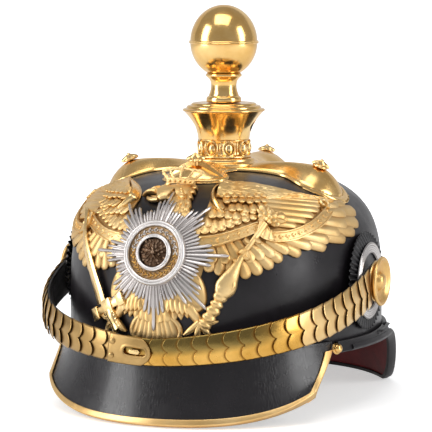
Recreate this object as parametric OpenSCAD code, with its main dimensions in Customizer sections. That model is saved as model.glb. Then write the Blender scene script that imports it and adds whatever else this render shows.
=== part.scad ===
// Dress helmet of black lacquered leather with gilt mounts and a ball finial.
// Millimetres. +Z is up, the front faces -Y, and the wearer's left is +X.
// The origin is the centre of the opening, on the plane of the skull's rim.

/* [Skull] */
// Length of the leather skull outside, front to back
skull_length = 216; // [208:1:224]
// Width of the leather skull outside
skull_width = 182; // [176:1:190]
// Height of the skull above its rim
skull_height = 98.5; // [94:0.5:104]
// Thickness of the skull's leather
skull_wall = 3; // [2:0.1:3.6]
// How squarely the wall turns into the crown
crown_squareness = 5; // [4.4:0.1:5.6]
// How full the crown is in plan
crown_fullness = 2.5; // [2.3:0.05:2.7]

/* [Front visor] */
// Drop of the front visor's edge below the rim, at the middle
front_drop = 38; // [34:0.5:40]
// Drop of the front visor's corners below the rim
corner_drop = 23; // [18:0.5:28]
// Half the distance between the front visor's corners
corner_half_width = 82.8; // [80:0.2:86]
// How far forward of the skull's centre the corners lie
corner_forward = 72; // [66:1:78]
// How far the front visor's edge stands out beyond the skull, at the middle
front_reach = 10; // [8:0.5:16]
// Angle from the front at which the front visor ends on the skull
front_end_angle = 64.5; // [60:0.5:66]
// Height of the stitched flange above the rim
flange_height = 5; // [4:0.5:7]
// Thickness of the visors' leather
visor_wall = 2.6; // [2:0.1:3.2]
// Thickness of the visors' linings
lining_wall = 0.8; // [0.6:0.1:1.2]
// Width of the gilt trim on the front visor
trim_width = 4; // [3:0.5:6]
// Thickness of the gilt trim
trim_wall = 0.8; // [0.6:0.1:1.2]

/* [Rear visor] */
// Drop of the rear visor's edge below the rim, at the back
rear_drop = 38; // [34:0.5:40]
// How far the rear visor's edge stands out beyond the skull, at the back
rear_reach = 13; // [8:0.5:18]
// Width of the leather edging on the rear visor
edging_width = 3; // [2:0.5:5]

/* [Crown mounts] */
// Distance of the finial's axis in front of the skull's centre
finial_forward = 6; // [3:0.5:9]
// Distance from the finial's axis to the side studs
side_stud_distance = 57.5; // [54:0.5:60]
// Distance from the finial's axis to the front stud
front_stud_distance = 42; // [40:0.5:45]
// Distance from the finial's axis to the back stud
back_stud_distance = 68.5; // [64:0.5:72]
// Length of a lobe beyond its stud
lobe_length = 19; // [17:0.5:21]
// Half width of a lobe
lobe_half_width = 20; // [17:0.5:23]
// Half width of an arm at its waist
waist_half_width = 12.5; // [10:0.5:15]
// Height of the arms' arched section
arm_height = 8.4; // [6:0.2:10]
// Thickness of the pressed sheet metal
sheet = 1.2; // [0.8:0.1:1.6]
// Radius of the studs that hold the cross-shaped base
stud_radius = 5; // [4:0.5:6]

/* [Finial] */
// Radius of the beaded collar under the neck
collar_radius = 16.6; // [15.5:0.1:18]
// Height of the beaded collar
collar_height = 10.8; // [9:0.2:12]
// Number of beads round the collar
bead_count = 9; // [8:1:14]
// Height of the neck
neck_height = 17; // [15:0.5:20]
// Radius of the neck's lip
lip_radius = 24.6; // [23:0.2:27]
// Number of vent holes in the neck
vent_count = 2; // [2:1:5]
// Radius of a vent hole
vent_radius = 3.2; // [1.5:0.1:3.6]
// Height of the stem from the cap to the ball
stem_height = 17.9; // [16:0.5:22]
// Radius of the stem at its waist
stem_waist = 7.6; // [7:0.1:8.6]
// Radius of the ball
ball_radius = 20; // [18:0.5:22]
// Height of the ball's upper half
ball_upper_height = 21.9; // [20:0.5:24]
// Height of the ball's lower half, down to the stem
ball_lower_height = 18; // [16:0.5:18.5]
// Radius of the screw on the stem
screw_radius = 5; // [4:0.1:5.6]
// Length of the screw on the stem
screw_length = 13; // [10:0.5:15]

/* [Chin scales] */
// How far the strap stands out beyond the skull's sides, under the rosettes
strap_side_reach = 5.2; // [5:0.1:6]
// How far the strap stands out beyond the skull's front
strap_front_reach = 7.6; // [7:0.1:10]
// Height of the rosette bolts above the rim
bolt_height = 35; // [32:0.5:38]
// Distance of the rosette bolts in front of the skull's centre
bolt_forward = 8; // [5:0.5:11]
// Height of the strap's middle line above the rim, at the front
strap_front_height = 3.5; // [2:0.5:5]
// Width of the chin scales at the rosettes
scale_width_side = 23; // [20:0.5:25]
// Width of the chin scales at the front
scale_width_front = 15.6; // [14:0.2:18]
// Distance from one scale to the next
scale_pitch = 8.6; // [8:0.1:9.2]
// Thickness of a scale
scale_wall = 0.6; // [0.4:0.05:0.8]
// Thickness of the leather strap under the scales
strap_wall = 1.2; // [1:0.1:1.4]
// Rise of the scales' arched section
scale_arch = 1.6; // [1:0.1:2]
// Radius of the rosette bolts
bolt_radius = 2.5; // [2:0.1:3]
// Radius of the rosettes
rosette_radius = 14.5; // [12:0.5:16]
// Length of the slot in the end tab
slot_length = 13; // [11:0.5:14]

/* [Badges] */
// Radius of the cockades
cockade_radius = 29; // [26:0.5:31]
// Number of flutes round a cockade
flute_count = 36; // [24:1:48]
// Outer radius of the cockades' silver rings
cockade_ring_radius = 22.6; // [20:0.2:24]
// Thickness of the eagle plate
eagle_wall = 2; // [1.2:0.1:2.4]
// Height of the star's middle above the rim
star_height = 57.5; // [55:0.5:60]
// Radius of the star to its longest rays
star_radius = 43; // [36:0.5:45]
// Outer radius of the star's rim
star_rim_radius = 18.5; // [16:0.5:20]
// How far the star's medallion stands out from the skull
medallion_reach = 8.2; // [8:0.1:8.4]

/* [Head fitting] */
// Height of the sweatband
sweatband_height = 27; // [24:1:27]
// Thickness of the sweatband
sweatband_wall = 1.5; // [1:0.1:2]
// Thickness of the silk liner
liner_wall = 1.2; // [0.8:0.1:1.6]

/* [Hidden] */

gilt = "goldenrod";
pale_gilt = "khaki";
silver = "silver";
lacquer = [0.08, 0.07, 0.08];
half_length = skull_length / 2;
half_width = skull_width / 2;

// Clearances
seat = 0.3;
fit = 0.06;
nut_gap = 1.2;
step = 0.01;

// Vectors
function unit(v) = v / norm(v);
function mix(p, q, k) = p * (1 - k) + q * k;

// The skull's surface: radius fraction and height fraction obey r^fullness + t^squareness = 1
function radius_at(t) = t <= 0 ? 1 : pow(1 - pow(t, crown_squareness), 1 / crown_fullness);
function height_at(r) = pow(1 - pow(r, crown_fullness), 1 / crown_squareness);
function skull_normal(p) =
    let (r = max(0.001, norm([p.x / half_width, p.y / half_length])), t = max(0, p.z / skull_height))
    let (pull = crown_fullness * pow(r, crown_fullness - 2))
    unit([pull * p.x / pow(half_width, 2), pull * p.y / pow(half_length, 2),
        crown_squareness * pow(t, crown_squareness - 1) / skull_height]);
function wall_point(angle, z, out = 0) =
    let (r = radius_at(z / skull_height))
    let (p = [half_width * r * sin(angle), -half_length * r * cos(angle), z])
    p + skull_normal(p) * out;
function roof_point(x, y, out = 0) =
    let (r = norm([x / half_width, y / half_length]))
    let (p = [x, y, skull_height * height_at(min(r, 0.99))])
    p + skull_normal(p) * out;
function shell_point(angle, r, t, out) =
    [(half_width + out) * r * sin(angle), -(half_length + out) * r * cos(angle), (skull_height + out) * t];

// A solid between two matching grids of points. Rows run upwards and columns run
// anticlockwise round the Z axis, seen from above, when the first grid is the outer one.
module slab(outer, inner, ring = false) {
    rows = len(outer);
    cols = len(outer[0]);
    spans = ring ? cols : cols - 1;
    function at(i, j, side) = side * rows * cols + i * cols + j % cols;
    points = concat([for (row = outer) each row], [for (row = inner) each row]);
    skins = [for (i = [0 : rows - 2], j = [0 : spans - 1]) each [
        [at(i, j, 0), at(i + 1, j, 0), at(i + 1, j + 1, 0)],
        [at(i, j, 0), at(i + 1, j + 1, 0), at(i, j + 1, 0)],
        [at(i, j, 1), at(i + 1, j + 1, 1), at(i + 1, j, 1)],
        [at(i, j, 1), at(i, j + 1, 1), at(i + 1, j + 1, 1)]]];
    top = rows - 1;
    rims = [for (j = [0 : spans - 1]) each [
        [at(0, j, 0), at(0, j + 1, 0), at(0, j + 1, 1)],
        [at(0, j, 0), at(0, j + 1, 1), at(0, j, 1)],
        [at(top, j + 1, 0), at(top, j, 0), at(top, j, 1)],
        [at(top, j + 1, 0), at(top, j, 1), at(top, j + 1, 1)]]];
    last = cols - 1;
    sides = ring ? [] : [for (i = [0 : rows - 2]) each [
        [at(i + 1, 0, 0), at(i, 0, 0), at(i, 0, 1)],
        [at(i + 1, 0, 0), at(i, 0, 1), at(i + 1, 0, 1)],
        [at(i, last, 0), at(i + 1, last, 0), at(i + 1, last, 1)],
        [at(i, last, 0), at(i + 1, last, 1), at(i, last, 1)]]];
    polyhedron(points, concat(skins, rims, sides), convexity = 6);
}

// A solid swept through rings of points. A cap is a list of triangles over one ring.
module sweep(rings, cap) {
    sides = len(rings[0]);
    last = (len(rings) - 1) * sides;
    walls = [for (i = [0 : len(rings) - 2], j = [0 : sides - 1]) each [
        [i * sides + j, i * sides + (j + 1) % sides, (i + 1) * sides + (j + 1) % sides],
        [i * sides + j, (i + 1) * sides + (j + 1) % sides, (i + 1) * sides + j]]];
    starts = [for (f = cap) [f[2], f[1], f[0]]];
    ends = [for (f = cap) [last + f[0], last + f[1], last + f[2]]];
    polyhedron([for (ring = rings) each ring], concat(walls, starts, ends), convexity = 6);
}

// Placing along a surface normal
module orient(n) {
    rotate([0, acos(n.z), atan2(n.y, n.x)]) children();
}
module on_roof(x, y) {
    p = roof_point(x, y);
    translate(p) orient(skull_normal(p)) children();
}
module on_wall(angle, z) {
    p = wall_point(angle, z);
    translate(p) orient(skull_normal(p)) children();
}
module along_x(x) {
    translate([x, -bolt_forward, bolt_height]) rotate([0, x > 0 ? 90 : -90, 0]) children();
}
module mirrored() {
    children();
    mirror([1, 0, 0]) children();
}

// Skull
wall_columns = 48;
column_angle = 360 / wall_columns;
roof_hole = 0.06;
vent_bore = 9;
wall_levels = [for (t = [0, 0.16, 0.32, 0.46, 0.58, 0.68, 0.76]) [radius_at(t), t]];
roof_levels = [for (r = [0.8, 0.7, 0.58, 0.46, 0.34, 0.2, roof_hole]) [r, height_at(r)]];
skull_levels = concat(wall_levels, roof_levels);
function shell_grid(levels, out) =
    [for (l = levels) [for (j = [0 : wall_columns - 1]) shell_point(j * column_angle, l[0], l[1], out)]];

plate_post_radius = 1.8;
plate_posts = [[-22, 62], [22, 62], [0, 32]];
stud_shank = 1.7;
cross_y = -finial_forward;
cross_arms = [
    [0, side_stud_distance, lobe_length],
    [90, back_stud_distance, lobe_length],
    [180, side_stud_distance, lobe_length],
    [270, front_stud_distance, lobe_length * 0.68]];
function arm_xy(arm, d, across) =
    [d * cos(arm[0]) - across * sin(arm[0]), cross_y + d * sin(arm[0]) + across * cos(arm[0])];

module skull() {
    color(lacquer) difference() {
        slab(shell_grid(skull_levels, 0), shell_grid(skull_levels, -skull_wall), ring = true);
        translate([0, cross_y, skull_height - 12]) cylinder(r = vent_bore, h = 24, $fn = 48);
        fastener_holes(seat * 4);
        for (post = plate_posts)
            on_wall(post[0], post[1]) translate([0, 0, -skull_wall * 2])
                cylinder(r = plate_post_radius + fit, h = skull_wall * 3, $fn = 24);
        for (side = [-1, 1])
            along_x(side * (half_width - skull_wall * 3)) cylinder(r = bolt_radius + fit, h = skull_wall * 5, $fn = 32);
    }
}
module fastener_holes(above) {
    for (arm = cross_arms) {
        p = arm_xy(arm, arm[1], 0);
        on_roof(p.x, p.y) translate([0, 0, -skull_wall * 2])
            cylinder(r = stud_shank + fit, h = skull_wall * 2 + above + arm_height * 2, $fn = 24);
    }
}

// Front visor: s runs from corner to corner, v from the top of the flange to the edge
edge_arc = 60;
edge_flatness = 3;
slope_power = 1.5;
front_columns = 24;
front_y = half_length + front_reach;
visor_offset = seat;
function edge_height(s) = mix(front_drop, corner_drop, pow(abs(s), edge_flatness));
function front_base(s, v) =
    let (top = [(half_width + visor_offset) * sin(s * front_end_angle),
        -(half_length + visor_offset) * cos(s * front_end_angle)])
    let (bow = (1 - cos(s * edge_arc)) / (1 - cos(edge_arc)))
    let (edge = [corner_half_width * sin(s * edge_arc) / sin(edge_arc), -mix(front_y, corner_forward, bow)])
    let (p = mix(top, edge, pow(max(v, 0), slope_power)))
    [p.x, p.y, mix(flange_height, -edge_height(s), v)];
function front_normal(s, v) =
    unit(cross(front_base(s + step, v) - front_base(s - step, v), front_base(s, v - step) - front_base(s, v + step)));
function front_point(s, v, out) = front_base(s, v) + front_normal(s, v) * out;
front_stations = [for (j = [0 : front_columns]) mix(-1, 1, j / front_columns)];
function front_grid(rows, out, lining = false) =
    [for (i = [0 : rows]) [for (k = front_stations)
        let (s = k * side_stop)
        front_point(s, mix(edge_stop(s), lining ? lining_top(s) : 0, i / rows), out)]];
trim_lap = trim_wall + fit;
lining_gap = 0.45;
lip = 0.2;
rest_level = front_drop + 0.3;
front_depth = front_drop + flange_height;
function edge_stop(s) = 1 - (trim_lap + fit) * 0.1 / norm(front_base(s, 1) - front_base(s, 0.9));
side_stop = 1 - trim_lap / corner_half_width;
function lining_top(s) = (flange_height + 1) / (flange_height + edge_height(s));

module front_visor() {
    color(lacquer) slab(front_grid(visor_rows, visor_wall), front_grid(visor_rows, 0));
}
module front_visor_lining() {
    color("darkgreen") slab(
        front_grid(visor_rows - 1, -lining_gap, lining = true),
        front_grid(visor_rows - 1, -lining_gap - lining_wall, lining = true));
}

// The trim's U-shaped section: distance in from the edge, then height over the leather's inner face
function u_section(width, wall, low, high) = [
    [width, high + wall], [0, high + wall], [0, low - wall], [width, low - wall],
    [width, low], [wall, low], [wall, high], [width, high]];
u_cap = [[0, 1, 6], [0, 6, 7], [1, 2, 5], [1, 5, 6], [2, 3, 4], [2, 4, 5]];
function u_ring(p, inward, n, section) = [for (q = section) p + inward * q[0] + n * q[1]];
trim_section = u_section(trim_width, trim_wall, -lining_gap - lining_wall - lip, visor_wall + lip);
function side_inward(s, v) = unit(front_base(s - sign(s) * step, v) - front_base(s, v));
function edge_inward(s, v) = unit(front_base(s, v - step) - front_base(s, v));
visor_rows = 5;
trim_top = 1 / visor_rows;
side_path = [for (i = [1 : visor_rows - 1]) let (v = trim_top * i) [1, v, side_inward(1, v)]];
edge_path = [for (i = [front_columns : -1 : 0]) let (s = front_stations[i] * side_stop)
    [s, 1, edge_inward(s, 1)]];
function turned(path) = [for (i = [len(path) - 1 : -1 : 0]) [-path[i][0], path[i][1], side_inward(-1, path[i][1])]];
function corner(s) = [s, 1, side_inward(s, 1) + edge_inward(s, 1)];
trim_path = concat(side_path, [corner(1)], edge_path, [corner(-1)], turned(side_path));
module above_rest() {
    difference() {
        children();
        translate([0, 0, -rest_level - 20]) cube([400, 400, 40], center = true);
    }
}
module front_visor_trim() {
    color(gilt) above_rest() sweep([for (k = trim_path)
        u_ring(front_base(k[0], k[1]), k[2], front_normal(k[0], k[1]), trim_section)], u_cap);
}
end_stud_radius = 2.6;
module trim_end_studs() {
    p = front_point(1, trim_top, visor_wall + trim_lap + seat * 3);
    n = front_normal(1, trim_top);
    color(gilt) mirrored() translate(p + [0, trim_width / 2, 0]) orient(n) {
        cylinder(r = end_stud_radius, h = 1.4, $fn = 32);
        translate([0, 0, 1.4]) intersection() {
            translate([0, 0, -end_stud_radius * 0.3]) sphere(r = end_stud_radius, $fn = 32);
            cylinder(r = end_stud_radius, h = end_stud_radius, $fn = 32);
        }
    }
}

// Rear visor: s runs from the wearer's left end, round the back, to the right end
rear_columns = 44;
rear_half_angle = 178 - front_end_angle;
rear_side_reach = 2;
rear_end_drop = 3;
fall_start = 0.66;
fall_end = 0.42;
function rear_fall(s) =
    let (k = max(0, min(1, (fall_start - abs(s)) / (fall_start - fall_end))))
    mix(rear_end_drop, rear_drop, k * k * (3 - 2 * k));
function rear_base(s, v) =
    let (angle = 180 + s * rear_half_angle, round = sin(90 * (1 - min(1, abs(s)))))
    let (reach = visor_offset + mix(rear_side_reach, rear_reach, pow(round, 2)) * pow(max(v, 0), slope_power))
    [(half_width + reach) * sin(angle), -(half_length + reach) * cos(angle),
        mix(flange_height - 1, -rear_fall(s), v)];
function rear_normal(s, v) =
    unit(cross(rear_base(s + step, v) - rear_base(s - step, v), rear_base(s, v - step) - rear_base(s, v + step)));
function rear_point(s, v, out) = rear_base(s, v) + rear_normal(s, v) * out;
function rear_stop(s) = 1 - (trim_lap + fit) * 0.1 / norm(rear_base(s, 1) - rear_base(s, 0.9));
function rear_grid(out) =
    [for (i = [0 : visor_rows]) [for (j = [0 : rear_columns])
        let (s = mix(-1, 1, j / rear_columns))
        rear_point(s, mix(rear_stop(s), 0, i / visor_rows), out)]];
rear_stations = [for (j = [1 : rear_columns - 1]) mix(-1, 1, j / rear_columns)];
function below_rim(s) = (flange_height + 0.2) / (flange_height - 1 + rear_fall(s));
function rear_lining_grid(out) =
    [for (i = [0 : 3]) [for (s = rear_stations) rear_point(s, mix(rear_stop(s), below_rim(s), i / 3), out)]];
module rear_visor() {
    color(lacquer) slab(rear_grid(visor_wall), rear_grid(0));
}
module rear_visor_lining() {
    color("darkred") slab(rear_lining_grid(-lining_gap), rear_lining_grid(-lining_gap - lining_wall));
}
edging_section = u_section(edging_width, trim_wall, -lining_gap - lining_wall - lip, visor_wall + lip);
function rear_inward(s) = unit(rear_base(s, 1 - step) - rear_base(s, 1));
module rear_visor_edging() {
    color(lacquer) above_rest() sweep([for (s = rear_stations)
        u_ring(rear_base(s, 1), rear_inward(s), rear_normal(s, 1), edging_section)], u_cap);
}

// Rear spine
spine_half_angle = 3.2;
spine_top = 80;
spine_foot = flange_height + 1;
spine_rise = 2.4;
function spine_grid(rise) =
    [for (i = [0 : 10]) [for (j = [-3 : 3])
        wall_point(180 + j / 3 * spine_half_angle * mix(0.85, 1.25, pow(1 - i / 10, 3)),
            mix(spine_foot, spine_top, i / 10), seat + rise * (1 - pow(j / 3, 2) * 0.8))]];
module rear_spine() {
    color(gilt) slab(spine_grid(spine_rise), spine_grid(0));
}
spine_studs = [14, 44];
module rear_spine_studs() {
    color(gilt) for (z = spine_studs) on_wall(180, z) translate([0, 0, spine_rise + seat * 2]) {
        cylinder(r = 2.4, h = 0.8, $fn = 32);
        translate([0, 0, 0.8]) cylinder(r1 = 2.4, r2 = 1.4, h = 1, $fn = 32);
    }
}

// Cross-shaped base: d is the distance along an arm, across runs from -1 to 1
hub_radius = 21;
arm_start = 12;
waist_distance = 0.68;
arm_rows = 10;
arm_columns = 6;
function arm_half_width(arm, d) =
    let (waist = arm[1] * waist_distance, in = max(0, (waist - d) / (waist - arm_start)))
    d > arm[1]
        ? lobe_half_width * sqrt(max(0.0004, 1 - pow((d - arm[1]) / arm[2], 2)))
        : d > waist
            ? mix(waist_half_width, lobe_half_width, (1 - cos(180 * (d - waist) / (arm[1] - waist))) / 2)
            : mix(waist_half_width, hub_radius * 0.9, pow(in, 2));
function arm_rise(arm, d) =
    let (end = arm[1] + arm[2], left = max(0, (end - d) / arm[2]))
    arm_height * (d > arm[1] ? pow(left, 0.5) * (1.9 - 0.9 * left) : pow(d / arm[1], 1.3));
function arm_out(arm, d, k) = seat + sheet + arm_rise(arm, d) * pow(max(0, 1 - pow(k, 2)), 0.8);
function arm_d(arm, i) = mix(arm_start, arm[1] + arm[2] - step, 1 - pow(1 - i / arm_rows, 1.35));
function arm_grid(arm, drop) =
    [for (j = [0 : arm_columns]) [for (i = [0 : arm_rows])
        let (d = arm_d(arm, i), k = 2 * j / arm_columns - 1)
        let (p = arm_xy(arm, d, k * arm_half_width(arm, d)))
        roof_point(p.x, p.y, max(seat, arm_out(arm, d, k) - drop))]];
hub_top = skull_height + 6.1;
module cross_base() {
    color(gilt) difference() {
        union() {
            for (arm = cross_arms) slab(arm_grid(arm, 0), arm_grid(arm, sheet));
            translate([0, cross_y, skull_height + seat]) {
                cylinder(r = hub_radius, h = 3, $fn = 64);
                cylinder(r = hub_radius - 2.6, h = hub_top - skull_height - seat, $fn = 64);
            }
        }
        translate([0, cross_y, skull_height - 12]) cylinder(r = vent_bore, h = 40, $fn = 48);
        fastener_holes(seat);
    }
}
function stud_out(arm) = arm_out(arm, arm[1], 0) + seat * 2;
module star_stud() {
    difference() {
        union() {
            cylinder(r = stud_radius, h = 0.9, $fn = 40);
            for (k = [0 : 3]) rotate(k * 22.5)
                linear_extrude(height = 2.2) square(stud_radius * 1.15, center = true);
            translate([0, 0, 2.2]) cylinder(r1 = stud_radius * 0.55, r2 = stud_radius * 0.3, h = 1.2, $fn = 32);
        }
    }
}
module cross_studs() {
    color(gilt) for (arm = cross_arms) {
        p = arm_xy(arm, arm[1], 0);
        on_roof(p.x, p.y) {
            translate([0, 0, stud_out(arm)]) star_stud();
            translate([0, 0, -shank_depth]) cylinder(r = stud_shank, h = shank_depth + stud_out(arm) + 1, $fn = 24);
        }
    }
}
nut_radius = 4.4;
nut_height = 2;
shank_depth = skull_wall + nut_gap + nut_height + 0.5;
module nut(bore) {
    translate([0, 0, -skull_wall - nut_gap - nut_height]) difference() {
        cylinder(r = nut_radius, h = nut_height, $fn = 32);
        translate([0, 0, -1]) cylinder(r = bore + fit, h = nut_height + 2, $fn = 24);
    }
}
module plate_nuts() {
    color("dimgray") {
        for (arm = cross_arms) {
            p = arm_xy(arm, arm[1], 0);
            on_roof(p.x, p.y) nut(stud_shank);
        }
        for (post = plate_posts) on_wall(post[0], post[1]) nut(plate_post_radius);
    }
}

// Finial, from the hub upwards
collar_base = hub_top;
neck_base = collar_base + collar_height;
cap_base = neck_base + neck_height;
cap_height = 4.8;
stem_base = cap_base + cap_height;
ball_base = stem_base + stem_height;
ball_middle = ball_base + ball_lower_height;
cap_hole = screw_radius + fit;
bead_turn = 24;
vent_turn = 10;
module at_finial(z) {
    translate([0, cross_y, z]) children();
}
module beaded_collar() {
    bead_width = collar_radius * sin(180 / bead_count);
    color(gilt) at_finial(collar_base) {
        rotate_extrude($fn = 96) polygon([[vent_bore, 0], [collar_radius - 0.6, 0], [collar_radius, 1],
            [collar_radius - 1.6, 2], [collar_radius - 1.9, collar_height - 2], [collar_radius - 0.9, collar_height - 1],
            [collar_radius - 1.1, collar_height], [vent_bore, collar_height]]);
        for (k = [0 : bead_count - 1]) rotate(bead_turn + k * 360 / bead_count)
            translate([collar_radius - bead_width * 0.58, 0, 1.6])
                cylinder(r = bead_width * 0.62, h = collar_height - 3.2, $fn = 24);
    }
}
neck_points = [[collar_radius - 1.3, 0], [collar_radius - 0.9, neck_height * 0.15],
    [collar_radius + 0.2, neck_height * 0.45], [collar_radius + 2.3, neck_height * 0.71],
    [collar_radius + 4.4, neck_height * 0.92], [lip_radius - 0.9, neck_height - 0.45], [lip_radius, neck_height]];
module neck() {
    wall = sheet;
    color(gilt) at_finial(neck_base) difference() {
        rotate_extrude($fn = 96) polygon(concat(neck_points,
            [for (i = [len(neck_points) - 1 : -1 : 0]) [neck_points[i][0] - wall * 1.6, neck_points[i][1]]]));
        for (k = [0 : vent_count - 1]) rotate(vent_turn + k * 360 / vent_count)
            translate([collar_radius - 8, 0, neck_height * 0.48]) rotate([0, 90, 0])
                cylinder(r = vent_radius, h = 16, $fn = 32);
    }
}
module neck_cap() {
    color(gilt) at_finial(cap_base) rotate_extrude($fn = 96) polygon([
        [cap_hole, -4.5], [cap_hole + 3.2, -4.5], [cap_hole + 3.2, 0], [lip_radius, 0], [lip_radius, 0.9],
        [lip_radius - 2.6, 1.6], [lip_radius - 2.6, 3], [lip_radius - 5.6, 3.4], [lip_radius - 6, cap_height],
        [cap_hole, cap_height]]);
}
module finial_screw() {
    color("darkgoldenrod") at_finial(stem_base + step - screw_length) cylinder(r = screw_radius, h = screw_length, $fn = 48);
}
foot_radius = stem_waist + 2.8;
module finial_stem() {
    color(gilt) at_finial(stem_base) translate([0, 0, seat / 2]) {
        h = stem_height - seat;
        rotate_extrude($fn = 96) polygon([[0, 0], [foot_radius - 0.2, 0], [foot_radius, 0.5], [foot_radius, h * 0.17],
            [foot_radius - 0.6, h * 0.23], [foot_radius - 1.8, h * 0.3], [stem_waist + 0.2, h * 0.42],
            [stem_waist, h * 0.54], [stem_waist + 0.3, h * 0.68], [foot_radius - 1.4, h * 0.8],
            [foot_radius - 0.8, h * 0.86], [foot_radius + 0.4, h * 0.89], [foot_radius + 0.4, h * 0.96],
            [foot_radius - 0.6, h], [0, h]]);
    }
}
ball_lower_axis = ball_lower_height / sqrt(1 - pow((foot_radius - 0.2) / ball_radius, 2));
function ball_arc(axis, high, steps, inset) =
    [for (i = [0 : steps]) let (a = mix(0, high, i / steps)) [(ball_radius - inset) * cos(a), (axis - inset) * sin(a)]];
ball_steps = 12;
module ball_lower() {
    low = asin(ball_lower_height / ball_lower_axis);
    outside = ball_arc(ball_lower_axis, -low, ball_steps, 0);
    inside = ball_arc(ball_lower_axis, -low, ball_steps, sheet);
    color(gilt) at_finial(ball_middle) translate([0, 0, -seat / 2]) rotate_extrude($fn = 96)
        polygon(concat(outside, [for (i = [ball_steps : -1 : 0]) inside[i]]));
}
module ball_upper() {
    outside = ball_arc(ball_upper_height, 90, ball_steps, 0);
    inside = ball_arc(ball_upper_height, 90, ball_steps, sheet);
    color(gilt) at_finial(ball_middle) translate([0, 0, seat / 2]) rotate_extrude($fn = 96)
        polygon(concat(outside, [for (i = [ball_steps : -1 : 0]) inside[i]]));
}
module ball_band() {
    color(gilt) at_finial(ball_middle) rotate_extrude($fn = 96)
        translate([ball_radius + fit, 0]) polygon([[0, -1], [0.5, -0.8], [0.9, 0], [0.5, 0.8], [0, 1]]);
}

// Shapes pressed on the front of the skull are drawn in millimetres along its surface and
// are cast onto it from one point inside.
cast_y = 20;
cast_z = 25;
cast_radius = 110;
cast_near = 8;
cast_far = 150;
function cast(p) =
    let (turn = p[0] / cast_radius * 180 / PI, lift = p[1] / cast_radius * 180 / PI)
    [tan(turn), tan(lift) / cos(turn)];
function ray_point(p, d) = let (c = cast(p)) [c[0] * d, cast_y - d, cast_z + c[1] * d];
function beyond(q, out) =
    pow(norm([q.x / (half_width + out), q.y / (half_length + out)]), crown_fullness)
        + pow(q.z / (skull_height + out), crown_squareness) > 1;
function on_shell(p, out, low = cast_near, high = cast_far, turns = 24) =
    let (d = (low + high) / 2)
    turns == 0 ? ray_point(p, d)
        : beyond(ray_point(p, d), out) ? on_shell(p, out, low, d, turns - 1) : on_shell(p, out, d, high, turns - 1);
front_sheet_columns = 28;
front_sheet_levels = [for (i = [0 : 10]) skull_levels[i]];
function front_sheet(out) =
    [for (l = front_sheet_levels) [for (j = [0 : front_sheet_columns])
        shell_point((j - front_sheet_columns / 2) * column_angle, l[0], l[1], out)]];
module pressed(low, high) {
    intersection() {
        slab(front_sheet(high), front_sheet(low));
        translate([0, cast_y, cast_z]) rotate([90, 0, 0]) translate([0, 0, cast_near])
            linear_extrude(height = cast_far - cast_near, scale = cast_far / cast_near) scale(cast_near) children();
    }
}
function bend(a, b, c, d, k) =
    0.5 * (2 * b + (c - a) * k + (2 * a - 5 * b + 4 * c - d) * k * k + (3 * b - a - 3 * c + d) * k * k * k);
function smooth(points, steps = 3) =
    let (n = len(points))
    [for (i = [0 : n - 1], k = [0 : steps - 1])
        bend(points[(i + n - 1) % n], points[i], points[(i + 1) % n], points[(i + 2) % n], k / steps)];
function bar(from, to, w1, w2) =
    let (along = unit(to - from), side = [-along[1], along[0]])
    concat([from - side * w1, to - side * w2],
        [for (a = [-60, -20, 20, 60]) to + (along * cos(a) + side * sin(a)) * w2],
        [to + side * w2, from + side * w1]);
function ribbon(line, halves) =
    let (n = len(line))
    let (sides = [for (i = [0 : n - 1])
        let (along = unit(line[min(n - 1, i + 1)] - line[max(0, i - 1)])) [-along[1], along[0]] * halves[i]])
    concat([for (i = [0 : n - 1]) line[i] + sides[i]], [for (i = [n - 1 : -1 : 0]) line[i] - sides[i]]);
module shape(points) {
    polygon([for (p = points) cast(p)]);
}

// Eagle: the wearer's left wing, mirrored for the right one
wing_edge = [[19, 22], [24, 46], [29, 52], [23.5, 60], [24, 69], [33, 78], [50, 79.5], [70, 76.8],
    [90, 72.8], [108, 68.8], [122, 62], [119, 52], [104, 43], [84, 38], [66, 33], [48, 26], [34, 22]];
feather_tips = [[140, 57.5], [138, 50], [130, 44.5], [113, 39], [93, 34.5], [76, 31], [65, 27], [59, 22.6],
    [51.5, 19.4], [44, 19], [34, 20]];
feather_roots = [[112, 60], [110, 55.5], [102, 52], [90, 50], [74, 47], [62, 44], [54, 40], [48, 36],
    [42, 34], [36, 32], [30, 30]];
feather_half = 5;
body_edge = [[-23, 26], [-16, 44], [0, 50], [16, 44], [23, 26], [16, 8], [0, 2], [-16, 8]];
tail_edge = [[-9, 8], [-13, -3], [-12, -12], [-4, -15.5], [4, -15.5], [12, -12], [13, -3], [9, 8]];
head_edge = [[-1, 44], [0, 56], [-8, 60], [-16, 59.5], [-22.5, 61], [-17, 65.5], [-10, 67], [-5, 70.5],
    [3, 71], [10, 65], [12.5, 56], [13, 44]];
module wing() {
    shape(smooth(wing_edge, 2));
    for (k = [0 : len(feather_tips) - 1]) shape(bar(feather_roots[k], feather_tips[k], feather_half, feather_half * 0.8));
}
module eagle_plate() {
    color(pale_gilt) pressed(seat, seat + eagle_wall) {
        wing();
        mirror([1, 0]) wing();
        shape(smooth(body_edge, 2));
        shape(smooth(tail_edge, 2));
        shape(smooth(head_edge, 2));
        shape(bar([12, 14], [25, 3], 10, 7));
        shape(bar([-12, 14], [-25, 3], 10, 7));
        shape(bar([16, 3], [25, -6], 4, 4));
        shape(bar([-14, 3], [-22, -6], 4, 4));
    }
}
module eagle_posts() {
    color("darkgoldenrod") for (post = plate_posts)
        on_wall(post[0], post[1]) translate([0, 0, -shank_depth])
            cylinder(r = plate_post_radius, h = shank_depth - seat, $fn = 24);
}
emblem_low = seat * 2 + eagle_wall;
sabre_line = [[-70, 50], [-60, 43], [-50.5, 33], [-38.5, 17.3], [-29.6, 2.2], [-26.5, -1]];
sabre_half = [0.4, 1.5, 2, 2.4, 2.8, 2.4];
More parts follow.
